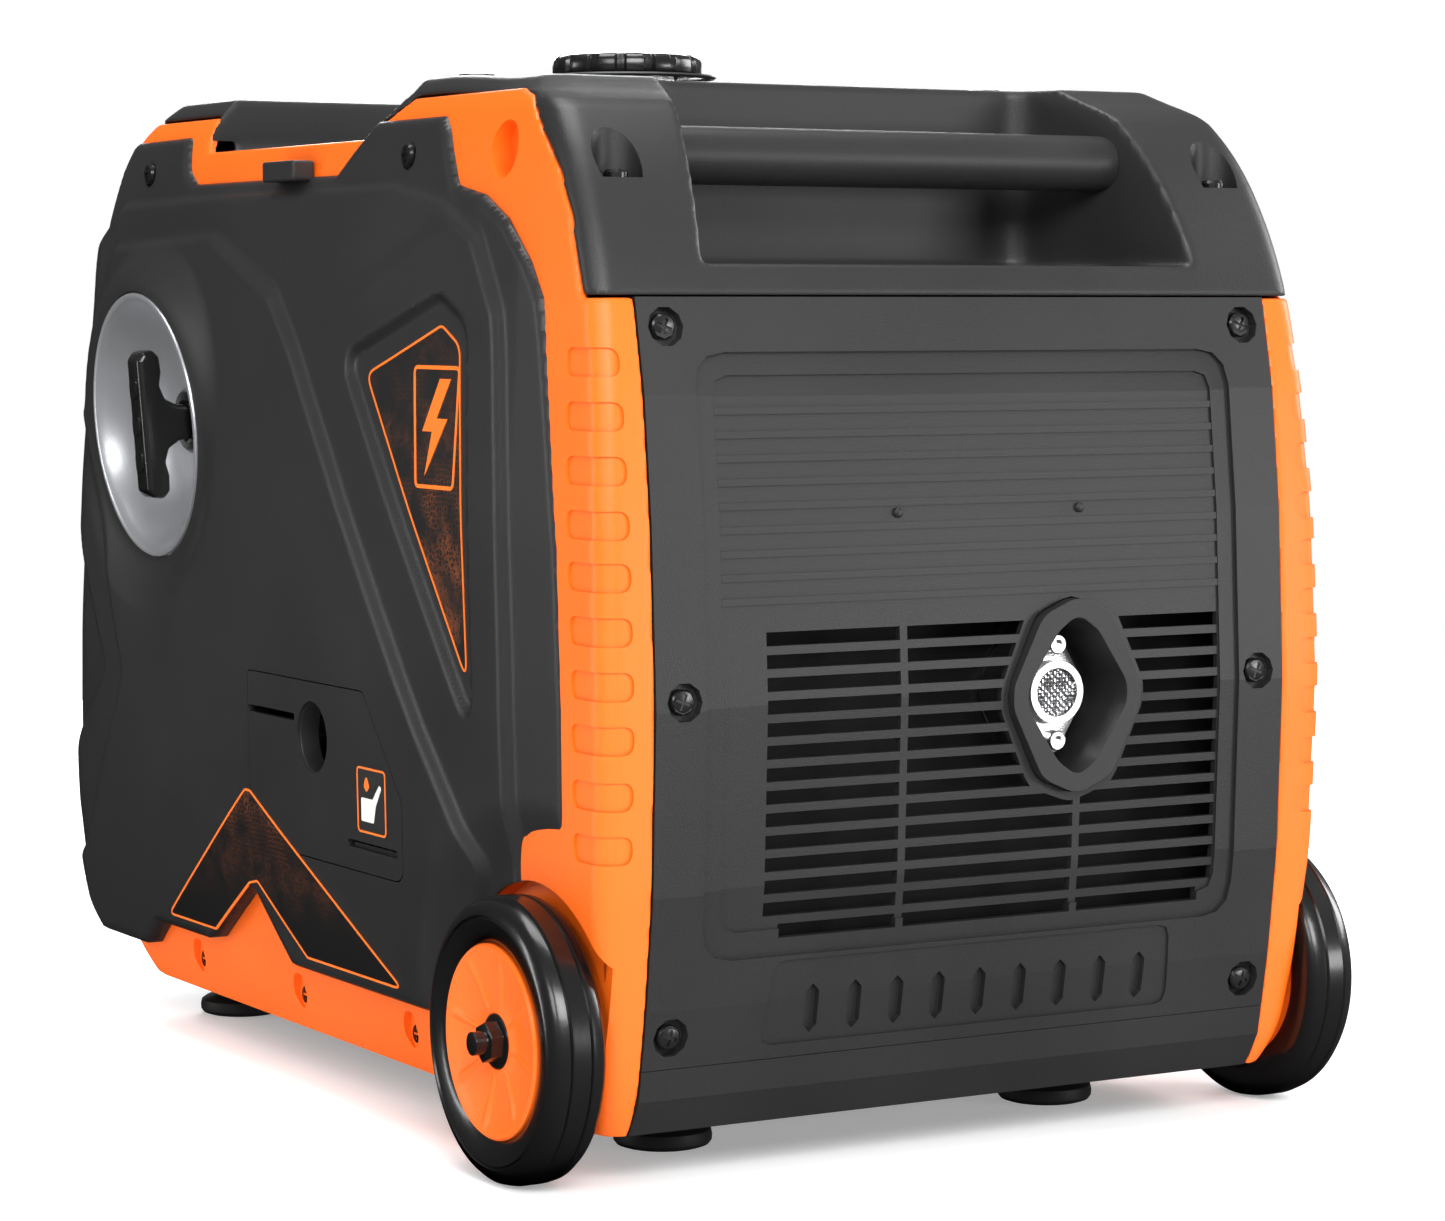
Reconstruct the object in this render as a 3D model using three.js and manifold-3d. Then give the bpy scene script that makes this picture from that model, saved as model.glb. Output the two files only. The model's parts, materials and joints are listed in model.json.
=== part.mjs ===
// Closed-frame inverter generator on two wheels, built as an assembly of separate bodies.
// Millimetres. +Z up, origin on the floor under the middle. Control panel faces -Y, exhaust end
// faces +Y, recoil starter side is +X.
import * as THREE from 'three';
import { mergeVertices } from 'three/addons/utils/BufferGeometryUtils.js';
import Module from 'manifold-3d';

const wasm = await Module();
wasm.setup();

// ---------------------------------------------------------------- driving dimensions
const GAP = 0.3; // clearance between neighbouring bodies
const PANEL_HALF = 167; // half width of the end panels
const SEAM_Z = 387; // seam between end panels and top cover
const PANEL_Z0 = 54; // bottom edge of the end panels
const COVER_OUT = 7.5; // how far the side covers stand proud of the side frames
const WHEEL = { y: 244.5, z: 63.4, r: 63.4, x0: 187.4, x1: 216.2, hub: 42.2 };
const AXLE_R = 6;
const CARRY_BAR = { y: 231, z: 449.5, r: 13, half: 119 };
const PULL_BAR = { y: -262, z: 437, r: 12.5, half: 96, rod: 5, reach: 250 };
const RECESS = { back: 184, backHalf: 102, mouth: 290, mouthHalf: 132, floor: 401 };
const FRONT_RECESS = { half: 116, back: -222, floor: 405 };
const VALLEY = { z: 462, y0: -141, y1: 52 };
const CAP = { x: 79, y: 124, r: 35, top: 500 };
const DISH = { x: 199.5, y: -175, z: 321, r: 68.5, tilt: 4.6 }; // tilted so its mouth looks slightly down
const DOOR_HOLE = { y: 38, z: 177, r: 17 };
const BEZEL = { x: -50.5, z: 207.5 };
const CRANK = { y: -40, z: 176 };
const FOOT = { r: 22, rear: [106, 205], front: [133, -213] };

// body outline by height: [z, half width, rear Y, front Y]
const LEVELS = [
  [24, 177, 284, -250], [40, 183, 293, -265], [80, 187, 300, -287], [130, 190.5, 306, -301],
  [210, 192, 309, -310], [290, 190.8, 305, -300], [345, 188, 299, -292], [387, 185.5, 290.5, -284],
  [410, 184.2, 282.5, -280], [430, 182.8, 272.5, -275], [448, 180.8, 261.5, -267], [464, 178, 247.5, -257],
  [479, 173, 231, -242], [489, 162, 206, -226],
];
const Z_LOW = LEVELS[0][0];
const Z_TOP = LEVELS[LEVELS.length - 1][0];
const REAR_CORNER = 12;
const FRONT_CORNER = 24;

// ---------------------------------------------------------------- materials
function material(name, hex, roughness, metalness = 0) {
  const m = new THREE.MeshStandardMaterial({ color: hex, roughness, metalness });
  m.name = name;
  return m;
}
const MAT = {
  orange: material('orange_plastic', 0xf57a14, 0.45),
  dark: material('charcoal_plastic', 0x3a3b3d, 0.6),
  black: material('black_plastic', 0x151515, 0.35),
  tyre: material('tyre_rubber', 0x101010, 0.4),
  rubber: material('foot_rubber', 0x1c1c1c, 0.8),
  silver: material('satin_silver', 0xb9bcc0, 0.35, 0.6),
  steel: material('bright_steel', 0xc8cacc, 0.3, 1),
  cast: material('cast_aluminium', 0x9a9c9e, 0.55, 0.8),
  copper: material('copper_winding', 0xb06a34, 0.45, 0.8),
  sheet: material('aluminised_sheet', 0x8d9093, 0.5, 0.9),
  tank: material('tank_plastic', 0x2b2b2d, 0.7),
  rope: material('starter_rope', 0x202020, 0.9),
  screen: material('display_lens', 0x1d2a2c, 0.2),
  red: material('red_plastic', 0xb3261e, 0.4),
  white: material('ceramic', 0xe8e6df, 0.35),
};

// ---------------------------------------------------------------- solid helpers
function solid(geometry) {
  const g = geometry.clone();
  g.deleteAttribute('normal');
  g.deleteAttribute('uv');
  const m = mergeVertices(g, 1e-4);
  return new wasm.Manifold(new wasm.Mesh({
    numProp: 3,
    vertProperties: new Float32Array(m.attributes.position.array),
    triVerts: new Uint32Array(m.index.array),
  }));
}

const all = (list) => list.reduce((a, b) => a.add(b));
const cut = (body, list) => list.reduce((a, b) => a.subtract(b), body);

function box(x0, x1, y0, y1, z0, z1) {
  const g = new THREE.BoxGeometry(x1 - x0, y1 - y0, z1 - z0);
  g.translate((x0 + x1) / 2, (y0 + y1) / 2, (z0 + z1) / 2);
  return solid(g);
}

// axis frames: the local Z of a drawn shape becomes the named axis
const FRAME = {
  x: new THREE.Matrix4().makeBasis(new THREE.Vector3(0, 1, 0), new THREE.Vector3(0, 0, 1), new THREE.Vector3(1, 0, 0)),
  y: new THREE.Matrix4().makeBasis(new THREE.Vector3(0, 0, 1), new THREE.Vector3(1, 0, 0), new THREE.Vector3(0, 1, 0)),
  z: new THREE.Matrix4(),
};

// outline points are (y, z) for axis x, (x, z) for axis y and (x, y) for axis z
function prism(axis, outline, from, to) {
  const pts = outline.map(([a, b]) => (axis === 'y' ? new THREE.Vector2(b, a) : new THREE.Vector2(a, b)));
  const g = new THREE.ExtrudeGeometry(new THREE.Shape(pts), { depth: to - from, bevelEnabled: false });
  g.translate(0, 0, from);
  g.applyMatrix4(FRAME[axis]);
  return solid(g);
}

// turned body: profile of [radius, position along the axis], centred on a point of the other plane
function turned(axis, [a, b], profile, segments = 32) {
  const pts = profile.map(([r, t]) => new THREE.Vector2(Math.max(r, 0), t));
  const g = new THREE.LatheGeometry(pts, segments);
  g.rotateX(Math.PI / 2);
  g.applyMatrix4(FRAME[axis]);
  const shift = { x: [0, a, b], y: [a, 0, b], z: [a, b, 0] }[axis];
  g.translate(...shift);
  let s = solid(g);
  if (s.volume() < 0) {
    const flipped = mergeVertices(g.deleteAttribute('normal').deleteAttribute('uv'), 1e-4);
    const idx = Array.from(flipped.index.array);
    for (let i = 0; i < idx.length; i += 3) [idx[i], idx[i + 1]] = [idx[i + 1], idx[i]];
    flipped.setIndex(idx);
    s = solid(flipped);
  }
  return s;
}

const rod = (axis, centre, r, from, to, segments = 24) =>
  turned(axis, centre, [[0, from], [r, from], [r, to], [0, to]], segments);

const ringOf = (axis, centre, r0, r1, from, to, segments = 32) =>
  turned(axis, centre, [[r0, from], [r1, from], [r1, to], [r0, to], [r0, from]], segments);

// polygon with its corners rounded; radius may be one number or one per corner
function rounded(points, radius, steps = 4) {
  const out = [];
  const n = points.length;
  for (let i = 0; i < n; i += 1) {
    const p = new THREE.Vector2(...points[i]);
    const a = new THREE.Vector2(...points[(i + n - 1) % n]).sub(p);
    const b = new THREE.Vector2(...points[(i + 1) % n]).sub(p);
    const want = Array.isArray(radius) ? radius[i] : radius;
    const half = a.angleTo(b) / 2;
    const reach = Math.min(want / Math.tan(half), a.length() * 0.48, b.length() * 0.48);
    if (reach < 0.05) {
      out.push([p.x, p.y]);
      continue;
    }
    const start = a.clone().setLength(reach).add(p);
    const end = b.clone().setLength(reach).add(p);
    const count = half > 1.3 ? 1 : steps;
    for (let k = 0; k <= count; k += 1) {
      const t = k / count;
      const u = 1 - t;
      out.push([
        u * u * start.x + 2 * u * t * p.x + t * t * end.x,
        u * u * start.y + 2 * u * t * p.y + t * t * end.y,
      ]);
    }
  }
  return out;
}

const rect = (a0, a1, b0, b1) => [[a0, b0], [a1, b0], [a1, b1], [a0, b1]];
const roundRect = (a0, a1, b0, b1, r, steps = 4) => rounded(rect(a0, a1, b0, b1), r, steps);

// closed body through a stack of equal-length rings
function loft(rings) {
  const n = rings[0].length;
  const pos = rings.flat(2);
  const idx = [];
  for (let k = 0; k + 1 < rings.length; k += 1) {
    for (let i = 0; i < n; i += 1) {
      const a = k * n + i;
      const b = k * n + ((i + 1) % n);
      idx.push(a, b, b + n, a, b + n, a + n);
    }
  }
  const top = (rings.length - 1) * n;
  for (let i = 1; i + 1 < n; i += 1) {
    idx.push(0, i + 1, i);
    idx.push(top, top + i, top + i + 1);
  }
  const g = new THREE.BufferGeometry();
  g.setAttribute('position', new THREE.Float32BufferAttribute(pos, 3));
  g.setIndex(idx);
  return solid(g);
}

// turns a body about a line through (x, z) parallel to Y, mouth downwards for a positive angle
function leanY(body, x0, z0, degrees) {
  const m = body.getMesh();
  const p = Float32Array.from(m.vertProperties);
  const [c, s] = [Math.cos(THREE.MathUtils.degToRad(degrees)), Math.sin(THREE.MathUtils.degToRad(degrees))];
  for (let i = 0; i < p.length; i += 3) {
    const [dx, dz] = [p[i] - x0, p[i + 2] - z0];
    p[i] = x0 + dx * c + dz * s;
    p[i + 2] = z0 - dx * s + dz * c;
  }
  return new wasm.Manifold(new wasm.Mesh({ numProp: 3, vertProperties: p, triVerts: Uint32Array.from(m.triVerts) }));
}
const leanDish = (body) => leanY(body, DISH.x, DISH.z, DISH.tilt);

const mirrorX = (body) => {
  const m = body.getMesh();
  const p = Float32Array.from(m.vertProperties);
  for (let i = 0; i < p.length; i += 3) p[i] = -p[i];
  const t = Uint32Array.from(m.triVerts);
  for (let i = 0; i < t.length; i += 3) [t[i], t[i + 1]] = [t[i + 1], t[i]];
  return new wasm.Manifold(new wasm.Mesh({ numProp: 3, vertProperties: p, triVerts: t }));
};

// ---------------------------------------------------------------- the outer envelope
function envelope(inset) {
  const squeeze = (Z_TOP - Z_LOW - 2 * inset) / (Z_TOP - Z_LOW);
  const rings = LEVELS.map(([z, w, rear, front]) => {
    const h = Z_LOW + inset + (z - Z_LOW) * squeeze;
    const x = w - inset;
    const corners = [
      [x, rear - inset, 0, REAR_CORNER], [-x, rear - inset, 1, REAR_CORNER],
      [-x, front + inset, 2, FRONT_CORNER], [x, front + inset, 3, FRONT_CORNER],
    ];
    const ring = [];
    for (const [cx, cy, quarter, radius] of corners) {
      const r = Math.max(radius - inset, 3);
      const ox = cx - Math.sign(cx) * r;
      const oy = cy - (quarter < 2 ? 1 : -1) * r;
      for (let k = 0; k <= 2; k += 1) {
        const a = (quarter + k / 2) * (Math.PI / 2);
        ring.push([ox + r * Math.cos(a), oy + r * Math.sin(a), h]);
      }
    }
    return ring;
  });
  return loft(rings);
}

const E0 = envelope(0);
const valley = (grow) => prism('x', [
  [VALLEY.y0 - grow, 600], [VALLEY.y0 - grow, VALLEY.z - grow], [VALLEY.y1 + grow, VALLEY.z - grow],
  [VALLEY.y1 + 38 + grow, VALLEY.z + 18 - grow], [VALLEY.y1 + 46 + grow, 600],
], -260, 260);
// its side walls open towards the mouth
const recessFlare = (RECESS.mouthHalf - RECESS.backHalf) / (RECESS.mouth - RECESS.back);
const rearRecess = (grow) => {
  const back = RECESS.back - grow;
  const halfAt = (y) => RECESS.backHalf + grow + (y - RECESS.back) * recessFlare;
  return prism('z', rounded([[-halfAt(back), back], [halfAt(back), back], [halfAt(400), 400], [-halfAt(400), 400]],
    [16 + grow, 16 + grow, 1, 1]), RECESS.floor - grow, 600);
};
const frontRecess = (grow) => prism('z',
  roundRect(-FRONT_RECESS.half - grow, FRONT_RECESS.half + grow, -400, FRONT_RECESS.back + grow, 16 + grow),
  FRONT_RECESS.floor - grow, 600);
const hollow = (inset, grow) => cut(envelope(inset), [valley(grow), rearRecess(grow), frontRecess(grow)]);

// side frame top edge in (y, z); everything under it belongs to the side frames
const frameEdge = (lift) => [
  [-340, 0], [340, 0], [340, SEAM_Z - GAP + lift], [279 + lift, SEAM_Z - GAP + lift], [273 + lift, 402],
  [266 + lift, 421], [252 + lift, 441], [212, 475 + lift], [196, 479.5 + lift], [89, 479.5 + lift],
  [52, VALLEY.z - 0.3 + lift], [VALLEY.y0 + 0.5, VALLEY.z - 0.3 + lift],
  [VALLEY.y0 - 2, 479.5 + lift], [-340, 479.5 + lift],
];

// ---------------------------------------------------------------- nodes
const group = new THREE.Group();
group.name = 'inverter_generator';

function node(name, body, mat) {
  const m = body.getMesh();
  const g = new THREE.BufferGeometry();
  g.setAttribute('position', new THREE.BufferAttribute(Float32Array.from(m.vertProperties), 3));
  g.setIndex(new THREE.BufferAttribute(Uint32Array.from(m.triVerts), 1));
  g.computeVertexNormals();
  const mesh = new THREE.Mesh(g, mat);
  mesh.name = name;
  group.add(mesh);
}

function pair(name, body, mat) {
  node(`${name}_right`, body, mat);
  node(`${name}_left`, mirrorX(body), mat);
}

// ---- top cover with the valley, the two handle recesses and the filler hole
{
  const skin = hollow(0, 0).subtract(hollow(3.5, 3.5));
  const above = prism('x', [[-340, 700], ...[...frameEdge(GAP)].slice(2).reverse(), [340, 700]], -260, 260);
  const middle = box(-164, 164, -340, 340, SEAM_Z, 700);
  const floorEdge = box(-172.2, 172.2, VALLEY.y0 + 0.2, VALLEY.y1, 440, 700);
  let top = skin.intersect(all([above.intersect(box(-260, 260, -340, 340, SEAM_Z, 700)), middle, floorEdge]));
  const holes = [rod('z', [CAP.x, CAP.y], 24, 460, 520, 24), rod('z', [60, -76], 10.3, 440, 480, 16)];
  for (const s of [-1, 1]) {
    // bar sockets, rod passages and shoulder screw pockets
    holes.push(rod('x', [CARRY_BAR.y, CARRY_BAR.z], CARRY_BAR.r + GAP, s > 0 ? 104 : -126, s > 0 ? 126 : -104));
    holes.push(rod('y', [s * 84, PULL_BAR.z], PULL_BAR.rod + 0.5, -240, -200, 14));
    holes.push(rod('z', [s * 160, 262], 11, 438, 500, 14));
  }
  top = cut(top, holes);
  node('top_cover', top, MAT.dark);
}

// ---- side frames
{
  const region = prism('x', frameEdge(-GAP), PANEL_HALF + GAP, 260);
  const skin = E0.subtract(envelope(4)).intersect(region);
  const thick = E0.subtract(envelope(11)).intersect(box(PANEL_HALF + GAP, 260, 150, 292, 0, 150));
  const opening = prism('x', rounded([
    [-246, 72], [-112, 72], [-50, 104], [10, 72], [118, 72], [148, 120], [176, 146], [240, 152], [247, 210],
    [244, 290], [234, 350], [224, 384], [196, 408], [150, 422], [120, 430], [-160, 430], [-226, 430],
    [-254, 400], [-264, 360], [-278, 250], [-278, 110], [-268, 80],
  ], 8, 2), 150, 260);
  let frame = all([skin, thick]).subtract(opening);
  const details = [turned('x', [WHEEL.y, WHEEL.z],
    [[0, 184.2], [WHEEL.r + 5, 184.2], [WHEEL.r + 8, 240], [0, 240]], 32)];
  // tie hole near the rear shoulder and screw pockets along the sill
  details.push(rod('x', [198, 452], 13, 160, 240, 16));
  for (const y of [-150, -22, 104]) details.push(rod('x', [y, 40], 6, 170, 260, 10));
  details.push(rod('x', [WHEEL.y, WHEEL.z], AXLE_R + 0.5, 160, 260, 14));
  frame = cut(frame, details);
  pair('side_frame', frame, MAT.orange);
}

// ---- side covers
function sideCover(isRight) {
  const outline = rounded([
    [-258, 44], [-200, 44], [-190, 51], [-178, 59.5], [-108, 59.5], [-57, 92], [-41, 92], [-3, 60],
    [250, 60], [259, 131], [262, 210], [259, 280], [251, 335], [242, 386], [230, 400], [207, 420], [184, 431],
    [158, 437], [142, 462], [134, 469], [64, 469], [28, 445], [-146, 445], [-157, 452], [-164, 470],
    [-236, 469], [-246, 455], [-258, 430], [-270, 405], [-278, 370], [-288, 300], [-296, 230], [-296, 120],
    [-290, 84], [-276, 58],
  ], 5, 2);
  const field = prism('x', outline, 140, 260);
  const inner = prism('x', rounded([
    [-246, 72], [-112, 72], [-50, 104], [10, 72], [118, 72], [148, 120], [172, 142], [226, 150], [233, 210],
    [230, 290], [221, 350], [212, 380], [190, 402], [150, 418], [120, 426], [-160, 426], [-222, 426],
    [-250, 396], [-260, 360], [-274, 250], [-274, 110], [-264, 80],
  ], 8, 1), 140, 260);
  const behind = envelope(-GAP).add(inner.intersect(envelope(3.2 - COVER_OUT)));
  // the plateau round the starter leans out towards its top edge
  const plateau = prism('x', [[-252, 150], [-254, 330], [-248, 372], [-226, 408], [-110, 412], [-24, 392], [2, 366],
    [52, 309], [104, 247], [150, 192], [120, 165], [-60, 150]], 180, 230)
    .intersect(prism('y', [[185, 150], [201.5, 150], [201.5, 335], [205.6, 392], [197, 414], [185, 414]], -300, 300));
  const cover = field.intersect(envelope(-COVER_OUT).add(plateau)).subtract(behind);
  const cuts = [];
  // the rear edge steps down to a thin lip
  cuts.push(prism('x', [[247, 100], [250, 210], [247, 290], [238, 350], [229, 388], [222, 396], [300, 430], [300, 100]], 150, 260)
    .subtract(envelope(-3.6)));
  // wheel arch
  cuts.push(turned('x', [WHEEL.y, WHEEL.z], [[0, 184.2], [WHEEL.r + 5, 184.2], [WHEEL.r + 5, 194.5],
    [WHEEL.r + 46, 202.5], [0, 202.5]], 32));
  // ear holes
  for (const y of [-205, 108]) cuts.push(rod('x', [y, 452], 7.5, 150, 260, 12));
  // triangular badge recess and chevron badge recess, both shallow
  cuts.push(prism('x', rounded([[66, 352], [154, 377], [176, 366], [192, 214]], [6, 8, 14, 3], 3), 196.3, 240));
  if (isRight) {
    cuts.push(leanDish(rod('x', [DISH.y, DISH.z], DISH.r + 3.5, 150, 260, 28)));
    cuts.push(prism('x', rounded([[-38, 204], [96, 204], [136, 156], [136, 118], [70, 118], [-38, 118]],
      [4, 6, 6, 10, 4, 4], 3), 150, 260));
  } else {
    for (let i = 0; i < 9; i += 1) {
      cuts.push(prism('x', rect(-190, -70, 220 + i * 14, 227 + i * 14), 150, 260));
    }
  }
  return cut(cover, cuts);
}
node('side_cover_right', sideCover(true), MAT.dark);
node('side_cover_left', mirrorX(sideCover(false)), MAT.dark);

// ---- rear panel
function endSkin(front, thickness) {
  const y = front ? [-340, -200] : [200, 340];
  return E0.subtract(envelope(thickness)).intersect(box(-PANEL_HALF, PANEL_HALF, ...y, PANEL_Z0, SEAM_Z - GAP));
}
const inSkin = (shape, from, to) => shape.intersect(envelope(from).subtract(envelope(to)));
const SCREWS = [[153.5, 374], [153, 214], [154, 68]];
{
  let panel = endSkin(false, 6.5);
  const groove = prism('y', roundRect(-142, 142, 100, 363, 16, 3), 240, 340);
  const fieldShape = prism('y', roundRect(-132.5, 132.5, 112, 353, 8, 2), 240, 340);
  panel = panel.subtract(inSkin(groove, -5, 2).subtract(fieldShape));
  panel = panel.subtract(inSkin(fieldShape, -5, 3.2));
  // raised horizontal ribs on the field
  const ribs = [];
  for (let i = 0; i < 9; i += 1) ribs.push(box(-132.3, 132.3, 240, 340, 336.2 - i * 10.25, 339.2 - i * 10.25));
  panel = panel.add(inSkin(all(ribs), 2.2, 4));
  // louvre openings between two mullions; the pocket for the exhaust is cut separately
  const bezelHole = prism('y', bezelOutline(-0.6), 240, 340);
  const slots = [];
  const bays = [[41.6, 110], [-52.2, 37.8], [-132, -56]];
  for (const [x0, x1] of bays) {
    for (let i = 0; i < 14; i += 1) {
      const z = 239 - i * 9.85;
      const inset = i === 13 ? 8 : 0;
      slots.push(box(x0 + (x0 < -100 ? inset : 0), x1 - (x1 > 100 ? inset : 0), 240, 340, z - 3, z + 3.1));
    }
  }
  const keepRim = prism('y', bezelOutline(3), 240, 340);
  panel = panel.subtract(all(slots).subtract(keepRim)).subtract(bezelHole);
  // lower relief with nine upright flutes
  panel = panel.subtract(inSkin(prism('y', rounded([[-110, 60], [110, 60], [104, 98], [-108, 98]], 6, 2), 240, 340), -5, 1.2));
  const flutes = [];
  for (let i = 0; i < 9; i += 1) flutes.push(prism('y', roundRect(79.6 - i * 22, 86.4 - i * 22, 64, 86, 3.3, 1), 240, 340));
  panel = panel.subtract(inSkin(all(flutes), -5, 4));
  for (const [x, z] of SCREWS) {
    for (const s of [-1, 1]) {
      panel = panel.subtract(inSkin(rod('y', [s * x, z], 8.7, 240, 340, 10), -5, 4.5));
      // the screw head fills the bottom of its pocket
      panel = panel.add(inSkin(rod('y', [s * x, z], 5.2, 240, 340, 8), 1.5, 5));
    }
  }
  node('rear_panel', panel, MAT.dark);
}

// lobed diamond outline of the exhaust bezel, grown by g
function bezelOutline(g) {
  return rounded([
    [BEZEL.x, BEZEL.z + 46 + g], [BEZEL.x + 20 + g, BEZEL.z + 38 + g], [BEZEL.x + 36 + g, BEZEL.z + 5],
    [BEZEL.x + 36 + g, BEZEL.z - 5], [BEZEL.x + 20 + g, BEZEL.z - 38 - g], [BEZEL.x, BEZEL.z - 46 - g],
    [BEZEL.x - 20 - g, BEZEL.z - 38 - g], [BEZEL.x - 36 - g, BEZEL.z - 5], [BEZEL.x - 36 - g, BEZEL.z + 5],
    [BEZEL.x - 20 - g, BEZEL.z + 38 + g],
  ], 12, 2);
}
{
  const lip = prism('y', bezelOutline(-1), 304, 310);
  const sleeve = prism('y', bezelOutline(-5), 276, 306);
  const open = prism('y', bezelOutline(-8.5), 270, 320);
  node('exhaust_bezel', all([lip, sleeve]).subtract(open), MAT.dark);
}

// ---- front panel and control face
const FACE = { x: 138, z0: 150, z1: 366, y: -284 };
{
  let panel = endSkin(true, 6.5);
  panel = panel.subtract(prism('y', roundRect(-FACE.x - GAP, FACE.x + GAP, FACE.z0 - GAP, FACE.z1 + GAP, 12, 2), -340, -240));
  const vents = [];
  for (let i = 0; i < 6; i += 1) {
    vents.push(box(-120, -4, -340, -240, 74 + i * 11, 79.5 + i * 11), box(4, 120, -340, -240, 74 + i * 11, 79.5 + i * 11));
  }
  node('front_panel', cut(panel, vents), MAT.dark);
}
const CONTROLS = {
  socketA: [-78, 230, 30], socketB: [0, 230, 30], round: [84, 226, 32], dc: [96, 318, 13],
  breakerA: [-103, 178, 8], breakerB: [-60, 178, 8], reset: [0, 178, 8], ground: [104, 172, 9],
  knob: [-92, 320, 24], start: [-34, 318, 14], eco: [2, 318, 0], display: [50, 318, 0],
};
{
  const plate = prism('y', roundRect(-FACE.x, FACE.x, FACE.z0, FACE.z1, 12, 2), FACE.y - 3, FACE.y);
  const holes = [];
  for (const key of ['dc', 'breakerA', 'breakerB', 'reset', 'start']) {
    const [x, z, r] = CONTROLS[key];
    holes.push(rod('y', [x, z], r + GAP, -320, -280, 16));
  }
  for (const key of ['socketA', 'socketB']) {
    const [x, z] = CONTROLS[key];
    holes.push(prism('y', roundRect(x - 18 - GAP, x + 18 + GAP, z - 35 - GAP, z + 35 + GAP, 7, 2), -320, -280));
  }
  holes.push(rod('y', [84, 226], 32 + GAP, -320, -280, 28), rod('y', [-92, 320], 5.5, -320, -280, 12));
  holes.push(rod('y', [104, 172], 4.5, -320, -280, 10));
  holes.push(box(-8.3, 12.3, -320, -280, 305.7, 330.3), box(27.7, 72.3, -320, -280, 301.7, 334.3));
  node('control_face', cut(plate, holes), MAT.black);
}
function socket(name, x, z) {
  let body = all([
    prism('y', roundRect(x - 18, x + 18, z - 35, z + 35, 7, 2), FACE.y - 6, FACE.y + 18),
    prism('y', roundRect(x - 22, x + 22, z - 39, z + 39, 9, 2), FACE.y - 6, FACE.y - 3.3),
  ]);
  const slots = [];
  for (const dz of [-18, 18]) {
    slots.push(box(x - 8, x - 6, -320, FACE.y, z + dz - 1, z + dz + 8), box(x + 5, x + 7.5, -320, FACE.y, z + dz - 1, z + dz + 7));
    slots.push(rod('y', [x, z + dz - 8], 2.6, -320, FACE.y, 8));
  }
  node(name, cut(body, slots), MAT.dark);
}
socket('outlet_duplex_a', CONTROLS.socketA[0], CONTROLS.socketA[1]);
socket('outlet_duplex_b', CONTROLS.socketB[0], CONTROLS.socketB[1]);
{
  const [x, z] = CONTROLS.round;
  let body = all([rod('y', [x, z], 32, FACE.y - 5, FACE.y + 22, 28), rod('y', [x, z], 36, FACE.y - 5.5, FACE.y - 3.3, 28)]);
  body = cut(body, [box(x - 12, x - 9, -320, FACE.y, z - 4, z + 8), box(x + 9, x + 12, -320, FACE.y, z - 4, z + 8),
    rod('y', [x, z - 14], 3.6, -320, FACE.y, 14)]);
  node('outlet_round', body, MAT.dark);
  const [dx, dz, dr] = CONTROLS.dc;
  const cup = all([rod('y', [dx, dz], dr, FACE.y - 4, FACE.y + 26, 20), rod('y', [dx, dz], dr + 4, FACE.y - 5, FACE.y - 3.3, 20)]);
  node('dc_socket', cup.subtract(rod('y', [dx, dz], dr - 3, -320, FACE.y + 18, 20)), MAT.black);
}
for (const [key, name] of [['breakerA', 'breaker_a'], ['breakerB', 'breaker_b'], ['reset', 'reset_button']]) {
  const [x, z, r] = CONTROLS[key];
  const body = turned('y', [x, z], [[0, FACE.y - 8], [r - 1.5, FACE.y - 8], [r - 1, FACE.y - 7], [r - 1, FACE.y + 10], [0, FACE.y + 10]], 20);
  node(name, body, key === 'reset' ? MAT.red : MAT.white);
}
{
  const [x, z, r] = CONTROLS.start;
  node('start_button', turned('y', [x, z], [[0, FACE.y - 8], [r - 2.5, FACE.y - 8], [r - 1, FACE.y - 6.5], [r - 1, FACE.y + 12], [0, FACE.y + 12]], 28), MAT.orange);
  const [kx, kz, kr] = CONTROLS.knob;
  const knob = all([
    turned('y', [kx, kz], [[0, FACE.y - 14], [kr - 6, FACE.y - 14], [kr - 1, FACE.y - 4], [0, FACE.y - 4]], 32),
    rod('y', [kx, kz], 4.8, FACE.y - 5, FACE.y + 12, 20),
    prism('y', roundRect(kx - 4, kx + 4, kz - kr + 1, kz + kr - 1, 2), FACE.y - 14, FACE.y - 5),
  ]);
  node('fuel_switch_knob', knob, MAT.black);
  node('eco_switch', prism('x', [[FACE.y - 3.2, 306.5], [FACE.y - 7, 308], [FACE.y - 4.6, 318], [FACE.y - 3.8, 329], [FACE.y + 4, 329], [FACE.y + 4, 307]], -7.6, 11.6), MAT.orange);
  node('display', all([box(28, 72, FACE.y - 3.6, FACE.y + 8, 302, 334), box(25, 75, FACE.y - 5, FACE.y - 3.3, 299, 337)]), MAT.screen);
  const [gx, gz] = CONTROLS.ground;
  const hex = [...Array(6).keys()].map((i) => [gx + 8 * Math.cos(i * Math.PI / 3), gz + 8 * Math.sin(i * Math.PI / 3)]);
  node('ground_terminal', all([rod('y', [gx, gz], 4, FACE.y - 13, FACE.y + 6, 16), prism('y', hex, FACE.y - 9.5, FACE.y - 3.4)]), MAT.steel);
}

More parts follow.
